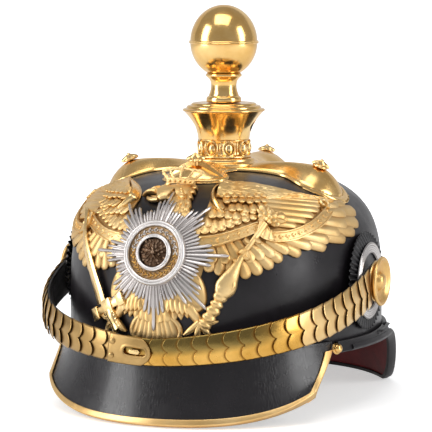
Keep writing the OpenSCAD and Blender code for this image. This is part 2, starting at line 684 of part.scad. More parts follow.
module sabre_outline() {
    shape(ribbon(sabre_line, sabre_half));
    shape(ribbon([[-38, -3.8], [-18, 6.6]], [2.4, 2.4]));
    shape(ribbon([[-27.2, 0], [-22.4, -7.4]], [2.4, 2.8]));
}
module eagle_sabre() {
    color(pale_gilt) pressed(emblem_low, emblem_low + 2) sabre_outline();
}
sceptre_line = [[23.5, -6.2], [31, 6], [34.6, 13.5], [38, 20], [48, 36], [54.5, 44.8]];
sceptre_half = [2.2, 2.2, 4.4, 1.8, 2, 2.6];
module sceptre_outline() {
    shape(ribbon(sceptre_line, sceptre_half));
}
module eagle_sceptre() {
    color(pale_gilt) pressed(emblem_low, emblem_low + 2.4) sceptre_outline();
}
crown_width = 25;
crown_rise = 13;
crown_lean = 34;
crown_wall = 2.4;
crown_foot = on_shell([0, 70.6], seat + eagle_wall - 0.4);
module eagle_crown() {
    half = crown_width / 2;
    color(pale_gilt) translate(crown_foot) rotate([90 - crown_lean, 0, 0]) translate([0, 0, 1.6])
        linear_extrude(height = crown_wall) {
            translate([-half * 0.62, -0.6]) square([half * 1.24, 3.6]);
            polygon(smooth([[-half * 0.6, 2.4], [-half, 7], [-half * 0.86, 10], [-half * 0.4, 10.6],
                [0, 9.4], [half * 0.4, 10.6], [half * 0.86, 10], [half, 7], [half * 0.6, 2.4]], 3));
            translate([0, crown_rise - 2.2]) circle(r = 2, $fn = 24);
        }
}

// Star
ray_groups = 8;
rays_in_group = 5;
star_tilt = 0;
function ray_length(k) =
    let (away = abs(k - (rays_in_group - 1) / 2) / ((rays_in_group - 1) / 2))
    mix(star_radius, star_radius * 0.6, pow(away, 0.8));
ray_tips = [for (g = [0 : ray_groups - 1], k = [0 : rays_in_group - 1]) each
    let (a = (g + (k + 0.5) / rays_in_group - 0.5) * 360 / ray_groups, half = 180 / ray_groups / rays_in_group)
    [[sin(a), cos(a)] * ray_length(k), [sin(a + half), cos(a + half)] * (ray_length(k) - 3.6)]];
star_p = wall_point(0, star_height);
star_n = skull_normal(star_p);
star_cast = let (d = star_p - [0, cast_y, cast_z]) [0, atan2(d.z, -d.y) / 180 * PI * cast_radius];
star_scale = cast_radius / norm(star_p - [0, cast_y, cast_z]);
ray_wall = 1.4;
module star_rays() {
    color(silver) difference() {
        pressed(emblem_low, emblem_low + ray_wall) difference() {
            shape([for (p = ray_tips) star_cast + p * star_scale]);
            offset(delta = 0.4 / cast_radius) {
                sabre_outline();
                sceptre_outline();
            }
        }
        at_star(-5) cylinder(r = star_rim_radius + fit, h = 20, $fn = 64);
    }
}
module at_star(out) {
    translate(star_p) orient(star_n) translate([0, 0, out]) children();
}
star_foot = eagle_wall + seat * 2;
module star_ring(outer, inner, low, high) {
    at_star(low) rotate_extrude($fn = 72)
        polygon([[inner, 0], [outer, 0], [outer, high - low - 1], [outer - 0.8, high - low], [inner + 0.8, high - low],
            [inner, high - low - 1]]);
}
rim_inner = star_rim_radius - 3.4;
inner_ring_radius = 10.6;
medallion_radius = 8.3;
module star_rim() {
    color(silver) star_ring(star_rim_radius, rim_inner, star_foot - 1.3, medallion_reach - 1.9);
}
module star_field() {
    color("dimgray") at_star(star_foot) difference() {
        cylinder(r = rim_inner - fit, h = medallion_reach - 3.4 - star_foot, $fn = 72);
        translate([0, 0, 1]) cylinder(r = inner_ring_radius + fit, h = medallion_reach, $fn = 72);
    }
}
module star_inner_ring() {
    color(silver) star_ring(inner_ring_radius, medallion_radius + fit, star_foot + 1 + fit, medallion_reach - 0.8);
}
module star_medallion() {
    color("tan") at_star(star_foot + 1 + fit) rotate_extrude($fn = 64)
        polygon([[0, 0], [medallion_radius, 0], [medallion_radius, medallion_reach - star_foot - 3],
            [medallion_radius * 0.7, medallion_reach - star_foot - 1.8], [0, medallion_reach - star_foot - 1.2]]);
}

// Cockades, rings and rosettes, from the skull outwards along the bolts
cockade_foot = half_width + seat;
cockade_wall = 1.6;
ring_foot = cockade_foot + cockade_wall + fit;
ring_wall = 0.8;
strap_half_width = half_width + strap_side_reach;
strap_foot = strap_half_width - strap_wall;
eye_foot = strap_half_width + fit;
eye_wall = 0.8;
rosette_foot = eye_foot + eye_wall + seat;
rosette_height = 5;
module cockade(side) {
    color(lacquer) along_x(side * cockade_foot) difference() {
        linear_extrude(height = cockade_wall) difference() {
            circle(r = cockade_radius, $fn = 96);
            for (k = [0 : flute_count - 1]) rotate(k * 360 / flute_count)
                translate([cockade_radius + 0.5, 0]) circle(r = cockade_radius * PI / flute_count * 0.62, $fn = 12);
        }
        translate([0, 0, -1]) cylinder(r = bolt_radius + fit, h = cockade_wall + 2, $fn = 32);
    }
}
module cockade_ring(side) {
    inner = cockade_ring_radius - 6.5;
    color(silver) along_x(side * ring_foot) rotate_extrude($fn = 96)
        polygon([[inner, 0], [cockade_ring_radius, 0], [cockade_ring_radius, ring_wall / 2],
            [cockade_ring_radius - 1, ring_wall], [inner + 1, ring_wall], [inner, ring_wall / 2]]);
}
module rosette(side) {
    color(gilt) along_x(side * rosette_foot) difference() {
        rotate_extrude($fn = 72) polygon([[0, 0], [rosette_radius - 4.5, 0], [rosette_radius - 0.8, 1.9],
            [rosette_radius, 2.8], [rosette_radius - 0.8, 3.5], [rosette_radius - 2, 3.1], [rosette_radius - 4.6, 1.7],
            [6, 1.4], [5, 2.2], [3.6, rosette_height - 0.8], [1.8, rosette_height], [0, rosette_height]]);
        translate([0, 0, -1]) cylinder(r = bolt_radius + fit, h = rosette_height - 0.6, $fn = 32);
    }
}
module rosette_bolts() {
    color("darkgoldenrod") for (side = [-1, 1])
        along_x(side * (half_width - shank_depth))
            cylinder(r = bolt_radius, h = rosette_foot + rosette_height - 2 - half_width + shank_depth, $fn = 32);
}
module rosette_nuts() {
    color("dimgray") for (side = [-1, 1])
        along_x(side * (half_width - skull_wall - nut_gap - nut_height)) difference() {
            cylinder(r = nut_radius + 0.6, h = nut_height, $fn = 32);
            translate([0, 0, -1]) cylinder(r = bolt_radius + fit, h = nut_height + 2, $fn = 32);
        }
}

// Chin strap: its middle line is a full oval in plan that climbs from the front to the bolts
strap_forward = half_length + strap_front_reach;
oval_power = 2.65;
climb_power = 1.45;
line_steps = 90;
function oval_point(a) =
    [strap_half_width * pow(abs(sin(a)), 2 / oval_power), -strap_forward * pow(abs(cos(a)), 2 / oval_power)];
line_angles = [for (i = [0 : line_steps]) i];
line_points = [for (a = line_angles) oval_point(a)];
line_lengths = [for (i = 0, s = 0; i <= line_steps;
    s = s + (i < line_steps ? norm(line_points[i + 1] - line_points[i]) : 0), i = i + 1) s];
function reach_of(y) = lookup(y, [for (i = [0 : line_steps]) [line_points[i].y, line_lengths[i]]]);
half_line = reach_of(-bolt_forward);
angle_table = [for (i = [0 : line_steps]) [line_lengths[i], line_angles[i]]];
function line_xy(s) =
    let (p = oval_point(lookup(abs(s), angle_table)))
    [s < 0 ? -p.x : p.x, p.y];
function line_z(s) = mix(strap_front_height, bolt_height, pow(min(1, abs(s) / half_line), climb_power));
function line_point(s) = let (p = line_xy(s)) [p.x, p.y, line_z(s)];
function line_tangent(s) = unit(line_point(s + 0.6) - line_point(s - 0.6));
function line_out(s) = let (t = line_tangent(s)) unit([t.y, -t.x, 0]);
function line_up(s) = let (t = line_tangent(s), n = line_out(s)) unit(cross(n, t));
function strap_half(s) = mix(scale_width_front, scale_width_side, min(1, abs(s) / half_line)) / 2;
flat_end = 8;
function arch(s) = scale_arch * mix(0.6, 1, min(1, abs(s) / half_line))
    * min(1, max(0, (half_line - flat_end - abs(s)) / 14));
function strap_point(s, v, out) =
    line_point(s) + line_up(s) * v * strap_half(s) + line_out(s) * (out + arch(s) * (1 - v * v));

// Segments of a half, counted from the rosette. The left half runs on under the tab.
segment_scales = [4, 4, 4];
scale_lap = 2.8;
scale_rise = 1.5;
first_scale_s = half_line - 9.5;
left_end_s = -17;
right_end_s = 19;
tab_lift = 0.5;
function joint_s(k) = first_scale_s - scale_pitch * (k == 0 ? 0 : segment_scales[k - 1] + (k > 1 ? segment_scales[k - 2] : 0)
    + (k > 2 ? segment_scales[k - 3] : 0));
joint_gap = 0.5;
strap_rows = 5;
function segment_top(k) = k == 1 ? half_line : joint_s(k - 1) - joint_gap;
module strap_piece(s_low, s_high) {
    function grid(out) = [for (j = [-2 : 2]) [for (i = [0 : strap_rows])
        strap_point(mix(s_low, s_high, i / strap_rows), j / 2 * 0.94, out)]];
    slab(grid(0), grid(-strap_wall));
}
module scale_plate(s_high, length, lobes, low_out, high_out) {
    function edge(v) = lobes * (1 - pow(abs(sin(180 * v)), 0.7));
    function grid(out) = [for (j = [-4 : 4]) let (v = j / 4) [for (i = [0, 1])
        let (s = mix(s_high - length + edge(v), s_high, i), k = (s_high - s) / length)
        strap_point(s, v, mix(low_out, high_out, k) + out)]];
    slab(grid(scale_wall), grid(0));
}
scale_foot = seat;
module scale_row(s_high, count, last_length) {
    for (i = [0 : count - 1])
        scale_plate(s_high - i * scale_pitch, i == count - 1 ? last_length : scale_pitch + scale_lap, scale_lap,
            scale_foot, scale_foot + scale_rise);
}
module bolt_hole() {
    along_x(strap_half_width - 6) cylinder(r = bolt_radius + fit, h = 14, $fn = 32);
}
hinge_lap = 4.6;
function cut_low(k) = joint_s(k) - scale_lap + hinge_lap + joint_gap;
function cut_high(k) = joint_s(k) - scale_lap + hinge_lap;
module strap_half_segment(k, end_s) {
    high = k == 1 ? half_line + 3 : cut_high(k - 1);
    low = k == 4 ? end_s : cut_low(k);
    difference() {
        strap_piece(low, high);
        if (k == 1) bolt_hole();
    }
}
module scale_half_segment(k, end_s) {
    if (k == 1) {
        difference() {
            along_x(eye_foot) cylinder(r = scale_width_side / 2, h = eye_wall, $fn = 48);
            bolt_hole();
        }
    }
    start = k == 1 ? first_scale_s : joint_s(k - 1);
    count = k < 4 ? segment_scales[k - 1] : max(1, floor((start - end_s) / scale_pitch));
    scale_row(start, count, k < 4 ? scale_pitch + scale_lap : start - (count - 1) * scale_pitch - end_s);
}
module left_scales(k) {
    color(gilt) scale_half_segment(k, left_end_s);
}
module left_strap(k) {
    color(lacquer) strap_half_segment(k, left_end_s);
}
module right_scales(k) {
    color(gilt) mirror([1, 0, 0]) scale_half_segment(k, right_end_s);
}
module right_strap(k) {
    color(lacquer) mirror([1, 0, 0]) strap_half_segment(k, right_end_s);
}
tab_out = scale_foot + scale_rise + scale_wall + tab_lift;
tab_end = 2;
tab_root = 24;
slot_middle = 7.5;
slot_half = 2;
module end_tab() {
    function grid(out) = [for (j = [-4 : 4]) let (v = j / 4) [for (i = [0 : 6])
        let (s = mix(-tab_root, tab_end - 6 * pow(abs(v), 2.4), i / 6))
        strap_point(s, v, tab_out + out)]];
    color(gilt) difference() {
        slab(grid(0.9), grid(0));
        slot_cut(slot_half, slot_length);
    }
}
rivet_s = -21.5;
rivet_radius = 1;
module tab_rivets() {
    p = line_point(rivet_s);
    n = line_out(rivet_s);
    color(gilt) for (v = [-0.5, 0.5])
        translate(p + line_up(rivet_s) * v * strap_half(rivet_s) - n * strap_wall) rotate([0, 0, atan2(n.x, -n.y)])
            rotate([90, 0, 0]) {
                cylinder(r = rivet_radius, h = strap_wall + tab_out + 2, $fn = 24);
                translate([0, 0, strap_wall + tab_out + 1.7]) cylinder(r1 = rivet_radius * 1.9, r2 = rivet_radius, h = 0.8, $fn = 24);
            }
}
module slot_cut(half, length) {
    p = line_point(-slot_middle);
    n = line_out(-slot_middle);
    translate(p) rotate([0, 0, atan2(n.x, -n.y)]) rotate([90, 0, 0]) linear_extrude(height = 14) hull() {
        translate([-length / 2 + half, 0]) circle(r = half, $fn = 24);
        translate([length / 2 - half, 0]) circle(r = half, $fn = 24);
    }
}
stud_half = 1.3;
module end_stud() {
    p = line_point(-slot_middle);
    n = line_out(-slot_middle);
    color(gilt) translate(p - n * strap_wall) rotate([0, 0, atan2(n.x, -n.y)]) rotate([90, 0, 0])
        linear_extrude(height = strap_wall + arch(0) + tab_out + 2.2) {
            translate([-2, 0]) circle(r = stud_half, $fn = 24);
            translate([2, 0]) circle(r = stud_half, $fn = 24);
            translate([-2, -stud_half]) square([4, stud_half * 2]);
        }
}

// Head fitting
band_rows = 2;
function band_lean(i) = skull_wall + seat + (i == 0 ? 0 : nut_height + seat);
function band_grid(depth) =
    [for (i = [0 : band_rows]) [for (j = [0 : wall_columns - 1])
        wall_point(j * column_angle, mix(1, sweatband_height, i / band_rows), -band_lean(i) - depth)]];
module sweatband() {
    color("saddlebrown") slab(band_grid(0), band_grid(sweatband_wall), ring = true);
}
liner_gap = skull_wall + nut_height + 4.2;
liner_levels = concat([[1.015, 0.25]], [for (t = [0.4, 0.52, 0.68]) [radius_at(t), t]],
    [for (r = [0.8, 0.64, 0.44, 0.24]) [r, height_at(r)]]);
module liner() {
    color("ivory") slab(shell_grid(liner_levels, -liner_gap), shell_grid(liner_levels, -liner_gap - liner_wall), ring = true);
}

skull();
front_visor();
front_visor_lining();
front_visor_trim();
trim_end_studs();
rear_visor();
rear_visor_lining();
rear_visor_edging();
rear_spine();
rear_spine_studs();
cross_base();
cross_studs();
plate_nuts();
beaded_collar();
neck();
neck_cap();
finial_screw();
finial_stem();
ball_lower();
ball_upper();
ball_band();
eagle_plate();
eagle_crown();
eagle_sabre();
eagle_sceptre();
eagle_posts();
star_rays();
star_rim();
star_field();
star_inner_ring();
star_medallion();
cockade(1);  // cockade_left
cockade(-1);  // cockade_right
cockade_ring(1);  // cockade_ring_left
cockade_ring(-1);  // cockade_ring_right
rosette(1);  // rosette_left
rosette(-1);  // rosette_right
rosette_bolts();
rosette_nuts();
left_scales(1);  // scales_left_1
left_scales(2);  // scales_left_2
left_scales(3);  // scales_left_3
left_scales(4);  // scales_left_4
left_strap(1);  // strap_left_1
left_strap(2);  // strap_left_2
left_strap(3);  // strap_left_3
left_strap(4);  // strap_left_4
right_scales(1);  // scales_right_1
right_scales(2);  // scales_right_2
right_scales(3);  // scales_right_3
right_scales(4);  // scales_right_4
right_strap(1);  // strap_right_1
right_strap(2);  // strap_right_2
right_strap(3);  // strap_right_3
right_strap(4);  // strap_right_4
end_stud();
end_tab();
tab_rivets();
sweatband();
liner();
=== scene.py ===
"""Dress helmet of black lacquered leather with gilt mounts: the looks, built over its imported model."""
import random
from math import asin, atan2, copysign, cos, degrees, exp, floor, hypot, pi, radians, sin, sqrt, tan, tau

import bmesh
import bpy
import numpy as np
from mathutils import Matrix, Vector, noise


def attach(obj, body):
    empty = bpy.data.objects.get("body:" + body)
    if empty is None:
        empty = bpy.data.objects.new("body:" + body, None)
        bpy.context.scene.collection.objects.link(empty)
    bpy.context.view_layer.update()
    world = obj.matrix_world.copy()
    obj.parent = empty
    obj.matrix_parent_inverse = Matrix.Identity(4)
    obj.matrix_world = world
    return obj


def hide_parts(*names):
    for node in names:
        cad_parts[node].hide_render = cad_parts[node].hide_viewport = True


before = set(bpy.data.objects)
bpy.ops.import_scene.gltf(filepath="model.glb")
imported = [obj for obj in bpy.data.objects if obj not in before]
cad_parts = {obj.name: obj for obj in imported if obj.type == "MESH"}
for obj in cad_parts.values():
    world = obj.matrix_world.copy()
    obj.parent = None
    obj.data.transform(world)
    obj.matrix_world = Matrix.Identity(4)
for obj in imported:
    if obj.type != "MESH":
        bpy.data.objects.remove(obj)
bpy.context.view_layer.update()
MM = 0.001


def mix(a, b, k):
    return a * (1 - k) + b * k


def clamp(x, low=0.0, high=1.0):
    return max(low, min(high, x))


def along(points, k):
    """The point at fraction k of a smooth curve through points."""
    n = len(points) - 1
    at = clamp(k) * n
    i = min(n - 1, int(at))
    f = at - i
    a, b, c, d = (np.array(points[clamp(j, 0, n)], float) for j in (i - 1, i, i + 1, i + 2))
    if i == 0:
        a = 2 * b - c
    if i + 2 > n:
        d = 2 * c - b
    return 0.5 * (2 * b + (c - a) * f + (2 * a - 5 * b + 4 * c - d) * f * f
                  + (3 * b - a - 3 * c + d) * f ** 3)


def value_along(values, k):
    return float(along([[x] for x in values], k)[0])


def course(line, k, h=0.01):
    """The point at fraction k of a line, and the unit sideways from its run there."""
    step = along(line, min(1, k + h)) - along(line, max(0, k - h))
    step /= max(1e-6, np.hypot(step[0], step[1]))
    return along(line, k), np.array([-step[1], step[0]])


def clock(r, a):
    """The point at radius r and angle a from upright."""
    return (r * sin(a), r * cos(a))


# Measures of the helmet, in millimetres
HALF_LENGTH, HALF_WIDTH, SKULL_HEIGHT = 108.0, 91.0, 98.5
CROWN_SQUARE, CROWN_FULL = 5.0, 2.5
SKULL_WALL, VISOR_WALL, LINING_WALL, LINING_GAP = 3.0, 2.6, 0.8, 0.45
CLEAR = 0.3
WALL_TOP, ROOF_INNER, VENT_BORE = 0.76, 0.22, 9
FINIAL_Y = -6.0
REST_LEVEL = -38.3
BOLT_Y, BOLT_Z = -8.0, 35.0


def radius_at(t):
    return max(0.0, 1 - t ** CROWN_SQUARE) ** (1 / CROWN_FULL)


def height_at(r):
    return max(0.0, 1 - r ** CROWN_FULL) ** (1 / CROWN_SQUARE)


def skull_normal(p):
    r = max(0.001, hypot(p.x / HALF_WIDTH, p.y / HALF_LENGTH))
    pull = CROWN_FULL * r ** (CROWN_FULL - 2)
    t = max(0.0, p.z / SKULL_HEIGHT)
    n = Vector((pull * p.x / HALF_WIDTH ** 2, pull * p.y / HALF_LENGTH ** 2,
                CROWN_SQUARE * t ** (CROWN_SQUARE - 1) / SKULL_HEIGHT))
    return n.normalized()


def wall_point(angle, z, out=0.0):
    r = radius_at(clamp(z / SKULL_HEIGHT))
    a = radians(angle)
    p = Vector((HALF_WIDTH * r * sin(a), -HALF_LENGTH * r * cos(a), z))
    return p + skull_normal(p) * out


def roof_point(x, y, out=0.0):
    r = hypot(x / HALF_WIDTH, y / HALF_LENGTH)
    p = Vector((x, y, SKULL_HEIGHT * height_at(min(r, 0.99))))
    return p + skull_normal(p) * out


# Making meshes
def lattice(bm, columns, rows, place):
    """A sheet of columns by rows faces whose corners go to place(u, v), both from 0 to 1."""
    made = bmesh.ops.create_grid(bm, x_segments=columns, y_segments=rows, size=0.5)["verts"]
    for v in made:
        v.co = Vector(place(v.co.x + 0.5, v.co.y + 0.5))
    return made


def skin(columns, rows, place):
    """A new mesh: one lattice with its meeting edges joined."""
    bm = bmesh.new()
    lattice(bm, columns, rows, place)
    close_up(bm)
    return bm


def turn_over(bm):
    bmesh.ops.reverse_faces(bm, faces=bm.faces[:])


def settle(bm, way=None):
    """Makes the faces' sides agree, and turns them to face way on the whole."""
    bmesh.ops.recalc_face_normals(bm, faces=bm.faces[:])
    if way and sum(f.normal.dot(way) for f in bm.faces) < 0:
        turn_over(bm)


def settle_outward(bm):
    """Turns every face away from the helmet's upright axis."""
    settle(bm)
    for f in bm.faces:
        if f.normal.xy.dot(f.calc_center_median().xy) < 0:
            f.normal_flip()


def close_up(bm):
    bmesh.ops.remove_doubles(bm, verts=bm.verts[:], dist=0.004)
    settle(bm)


def move(bm, matrix):
    bmesh.ops.transform(bm, matrix=matrix, verts=bm.verts[:])


def absorb(bm, part):
    """Moves another mesh into bm."""
    mesh = bpy.data.meshes.new("part")
    part.to_mesh(mesh)
    part.free()
    bm.from_mesh(mesh)


def shifted(x, y, z):
    return Matrix.Translation((x, y, z))


def about(angle, axis="Z"):
    """A turn by an angle in degrees."""
    return Matrix.Rotation(radians(angle), 4, axis)


def ball(bm, at, radius, segments, rings, shape=(1, 1, 1)):
    bmesh.ops.create_uvsphere(bm, u_segments=segments, v_segments=rings, radius=radius,
                              matrix=at @ Matrix.Diagonal((*shape, 1)))


def turned(bm, profile, steps, at=None):
    """A body of revolution about Z from a profile of (radius, height)."""
    verts = [bm.verts.new((r, 0, z)) for r, z in profile]
    edges = [bm.edges.new(pair) for pair in zip(verts, verts[1:])]
    bmesh.ops.spin(bm, geom=verts + edges, cent=(0, 0, 0), axis=(0, 0, 1), dvec=(0, 0, 0),
                   angle=tau, steps=steps, use_merge=True)
    if at is not None:
        move(bm, at)


def rounded(points, radius, steps=3, closed=False):
    """A profile with its corners rounded."""
    out = []
    n = len(points)
    for i, p in enumerate(points):
        if not closed and i in (0, n - 1):
            out.append(tuple(p))
            continue
        p = Vector(p)
        a = Vector(points[i - 1]) - p
        b = Vector(points[(i + 1) % n]) - p
        reach = min(radius, a.length * 0.45, b.length * 0.45)
        start = p + a.normalized() * reach
        end = p + b.normalized() * reach
        for k in range(steps + 1):
            f = k / steps
            q = start * (1 - f) ** 2 + p * 2 * f * (1 - f) + end * f * f
            out.append((q.x, q.y))
    return out


def lathe(profile, radius, steps, at=None, corner=3):
    """A new mesh: the body turned from a profile whose corners are rounded."""
    bm = bmesh.new()
    turned(bm, rounded(profile, radius, corner), steps, at)
    return bm


def facing(point, direction, spin=0.0):
    """A placing that stands Z along direction at point."""
    turn = Vector(direction).normalized().to_track_quat("Z", "Y").to_matrix().to_4x4()
    return Matrix.Translation(point) @ turn @ Matrix.Rotation(spin, 4, "Z")


def into_scene(name, data):
    obj = bpy.data.objects.new(name, data)
    bpy.context.scene.collection.objects.link(obj)
    return obj


def piece(name, bm, material, replaces=(), body="helmet", wall=0.0, smooth=38, bevel=0.0):
    """Turns a mesh drawn in millimetres into a finished piece in its place."""
    bmesh.ops.scale(bm, vec=(MM, MM, MM), verts=bm.verts[:])
    mesh = bpy.data.meshes.new(name)
    bm.to_mesh(mesh)
    bm.free()
    mesh.shade_smooth()
    mesh.set_sharp_from_angle(angle=radians(smooth))
    obj = into_scene(name, mesh)
    mesh.materials.append(material)
    if wall:
        solid = obj.modifiers.new("Wall", "SOLIDIFY")
        solid.thickness = wall * MM
        solid.offset = -1.0
    if bevel:
        edge = obj.modifiers.new("Edges", "BEVEL")
        edge.width = bevel * MM
        edge.segments = 2
        edge.limit_method = "ANGLE"
        edge.angle_limit = radians(50)
    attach(obj, body)
    if replaces:
        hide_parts(*replaces)
    return obj


def cut_holes(obj, cutters):
    """Cuts the cutters' shapes out of a piece."""
    mesh = bpy.data.meshes.new("cutter")
    cutters.to_mesh(mesh)
    cutters.free()
    tool = into_scene("cutter", mesh)
    knife = obj.modifiers.new("Holes", "BOOLEAN")
    knife.operation = "DIFFERENCE"
    knife.solver = "EXACT"
    knife.object = tool
    graph = bpy.context.evaluated_depsgraph_get()
    cut = bpy.data.meshes.new_from_object(obj.evaluated_get(graph))
    obj.modifiers.clear()
    obj.data = cut
    bpy.data.objects.remove(tool)


# Materials
class Finish:
    """A procedural finish on the shader's nodes, patterned in the piece's own space."""

    def __init__(self, name, **sockets):
        self.material = bpy.data.materials.new(name)
        self.material.use_nodes = True
        self.tree = self.material.node_tree
        self.shader = self.tree.nodes["Principled BSDF"]
        self.place = self.tree.nodes.new("ShaderNodeTexCoord").outputs["Object"]
        for key, value in sockets.items():
            self.join(value, self.shader.inputs[key.replace("_", " ")])

    def join(self, value, socket):
        """Links another node's output, or sets a plain value."""
        if hasattr(value, "is_output"):
            self.tree.links.new(value, socket)
        else:
            socket.default_value = value

    def node(self, kind, **inputs):
        made = self.tree.nodes.new(kind)
        for key, value in inputs.items():
            self.join(value, made.inputs[key.replace("_", " ")])
        return made

    def stretch(self, scale, turn=(0, 0, 0)):
        return self.node("ShaderNodeMapping", Vector=self.place, Scale=scale, Rotation=turn).outputs["Vector"]

    def noise(self, scale, detail=3.0, rough=0.5, where=None, twist=0.0):
        return self.node("ShaderNodeTexNoise", Vector=where or self.place, Scale=scale, Detail=detail,
                         Roughness=rough, Distortion=twist).outputs["Fac"]

    def cells(self, scale, where=None):
        made = self.node("ShaderNodeTexVoronoi", Vector=where or self.place, Scale=scale)
        made.feature = "DISTANCE_TO_EDGE"
        return made.outputs["Distance"]

    def attribute(self, name):
        made = self.tree.nodes.new("ShaderNodeAttribute")
        made.attribute_name = name
        return made.outputs["Fac"]

    def span(self, value, low, high, to_low=0.0, to_high=1.0):
        return self.node("ShaderNodeMapRange", Value=value, From_Min=low, From_Max=high, To_Min=to_low,
                         To_Max=to_high).outputs["Result"]

    def sum(self, a, b, kind="ADD"):
        made = self.tree.nodes.new("ShaderNodeMath")
        made.operation = kind
        self.join(a, made.inputs[0])
        self.join(b, made.inputs[1])
        return made.outputs[0]

    def blend(self, factor, a, b):
        made = self.tree.nodes.new("ShaderNodeMix")
        made.data_type = "RGBA"
        self.join(factor, made.inputs["Factor"])
        for socket, value in ((made.inputs[6], a), (made.inputs[7], b)):
            self.join((*value, 1) if isinstance(value, tuple) else value, socket)
        return made.outputs[2]

    def put(self, socket, value):
        self.tree.links.new(value, self.shader.inputs[socket])

    def bump(self, height, depth, strength=1.0, under=None):
        made = self.node("ShaderNodeBump", Height=height, Distance=depth * MM, Strength=strength)
        if under is not None:
            self.join(under, made.inputs["Normal"])
        self.put("Normal", made.outputs["Normal"])
        return made.outputs["Normal"]


def gilding(name, deep, bright, rough, grain, grain_scale=2600.0, dent=0.0, tarnish=0.25, scratch=0.0,
            lumps=0.0, top_reflection_tone=None):
    """Gilt brass: colour that drifts between two golds, painted shade that darkens its hollows, tarnish spots
    and a fine grain.
    """
    f = Finish(name, Metallic=1.0)
    drift = f.span(f.noise(46, 4, 0.6), 0.34, 0.68)
    colour = f.blend(drift, deep, bright)
    # Painted reflection: where the mesh marks the top of a piece, the gold turns to a dark tone that stands
    # in for dark surroundings mirrored there.
    if top_reflection_tone:
        colour = f.blend(f.attribute("upper"), colour, top_reflection_tone)
    # Painted shade: the mesh's depth mask darkens the gold in its recesses and low places, and noise spots
    # add tarnish.
    recess_shade = f.attribute("recess_shade")
    spots = f.span(f.noise(420, 5, 0.7), 0.62, 0.78, 0.0, tarnish)
    shade_and_tarnish = f.sum(f.sum(recess_shade, 1.1, "MULTIPLY"), spots, "MAXIMUM")
    colour = f.blend(shade_and_tarnish, colour, (deep[0] * 0.34, deep[1] * 0.26, deep[2] * 0.2))
    f.put("Base Color", colour)
    smear = f.span(f.noise(130, 4, 0.6, twist=0.6), 0.3, 0.75, rough[0], rough[1])
    f.put("Roughness", f.sum(smear, f.sum(recess_shade, 0.2, "MULTIPLY")))
    normal = f.bump(f.noise(grain_scale, 2, 0.6), 0.05, grain)
    if dent:
        normal = f.bump(f.noise(90, 2, 0.5), 0.5, dent, normal)
    if lumps:
        normal = f.bump(f.noise(620, 3, 0.6, f.stretch((0.5, 1, 1.4), (0, 0.3, 0))), 0.22, lumps, normal)
    if scratch:
        lines = f.noise(900, 2, 0.5, f.stretch((1, 1, 0.06), (0.3, 0.5, 0)))
        f.bump(lines, 0.04, scratch, normal)
    return f.material


def lacquer(name, grey=(0.0165, 0.0135, 0.0165), rough=(0.26, 0.44), craze=0.35, upright=False, wear=0.5,
            gloss=0.3, coat=0.08):
    """Lacquered leather: a black skin over fine grain, with crazing, dull patches and worn spots."""
    f = Finish(name, Specular_IOR_Level=gloss, Coat_Weight=coat, Coat_Roughness=0.16, Coat_IOR=1.5)
    cloud = f.span(f.noise(26, 5, 0.62), 0.35, 0.7)
    colour = f.blend(cloud, (0.0055, 0.0045, 0.0055), grey)
    worn = f.span(f.noise(240, 6, 0.72), 0.71, 0.78, 0.0, wear)
    colour = f.blend(worn, colour, (0.17, 0.13, 0.115))
    f.put("Base Color", colour)
    f.put("Roughness", f.sum(f.span(f.noise(60, 5, 0.6), 0.3, 0.7, *rough), f.sum(worn, 0.3, "MULTIPLY")))
    where = f.stretch((1, 1, 0.22 if upright else 0.6))
    normal = f.bump(f.span(f.cells(700, where), 0.0, 0.09), 0.03, craze)
    normal = f.bump(f.noise(1500, 3, 0.6, where), 0.045, 0.5, normal)
    f.bump(f.noise(34, 3, 0.5), 0.6, 0.25, normal)
    return f.material


def hide(name, dark, light, rough=0.5, grain=900.0, depth=0.06):
    """Plain dyed leather or lining skin with pores."""
    f = Finish(name, Roughness=rough)
    f.put("Base Color", f.blend(f.span(f.noise(70, 5, 0.65), 0.3, 0.7), dark, light))
    normal = f.bump(f.span(f.cells(grain), 0.0, 0.25), depth, 0.6)
    f.bump(f.noise(200, 3), 0.1, 0.4, normal)
    return f.material


def plated(name, dark, light, rough=(0.26, 0.38), grain=0.25):
    """Silver plate, darkened grey by painted shade in its hollows and by tarnish spots."""
    f = Finish(name, Metallic=1.0)
    recess_shade = f.attribute("recess_shade")
    spots = f.span(f.noise(300, 5, 0.7), 0.55, 0.8, 0.0, 0.5)
    # Painted shade in the recesses, together with tarnish spots, turns the silver dark.
    f.put("Base Color", f.blend(f.sum(f.sum(recess_shade, 0.8, "MULTIPLY"), spots, "MAXIMUM"), light, dark))
    f.put("Roughness", f.span(f.noise(150, 4), 0.3, 0.7, *rough))
    f.bump(f.noise(2400, 2, 0.6), 0.04, grain)
    return f.material


GILT = gilding("polished_gilt", (0.80, 0.49, 0.16), (0.93, 0.64, 0.28), (0.2, 0.3), grain=0.12, dent=0.05,
               scratch=0.1)
GILT_FINIAL = gilding("finial_gilt", (0.82, 0.48, 0.14), (0.95, 0.66, 0.28), (0.13, 0.22), grain=0.06,
                      dent=0.03, scratch=0.08, tarnish=0.15)
GILT_MATTE = gilding("matte_gilt", (0.80, 0.52, 0.20), (0.92, 0.68, 0.34), (0.36, 0.48), grain=0.8,
                     grain_scale=3200, tarnish=0.3, lumps=0.5)
GILT_BRIGHT_EDGE = gilding("burnished_gilt", (0.86, 0.57, 0.23), (0.95, 0.71, 0.36), (0.2, 0.32), grain=0.1)
SCALES_BRIGHT = gilding("scales_bright", (0.78, 0.51, 0.20), (0.89, 0.65, 0.32), (0.3, 0.42), grain=0.35,
                        scratch=0.2)
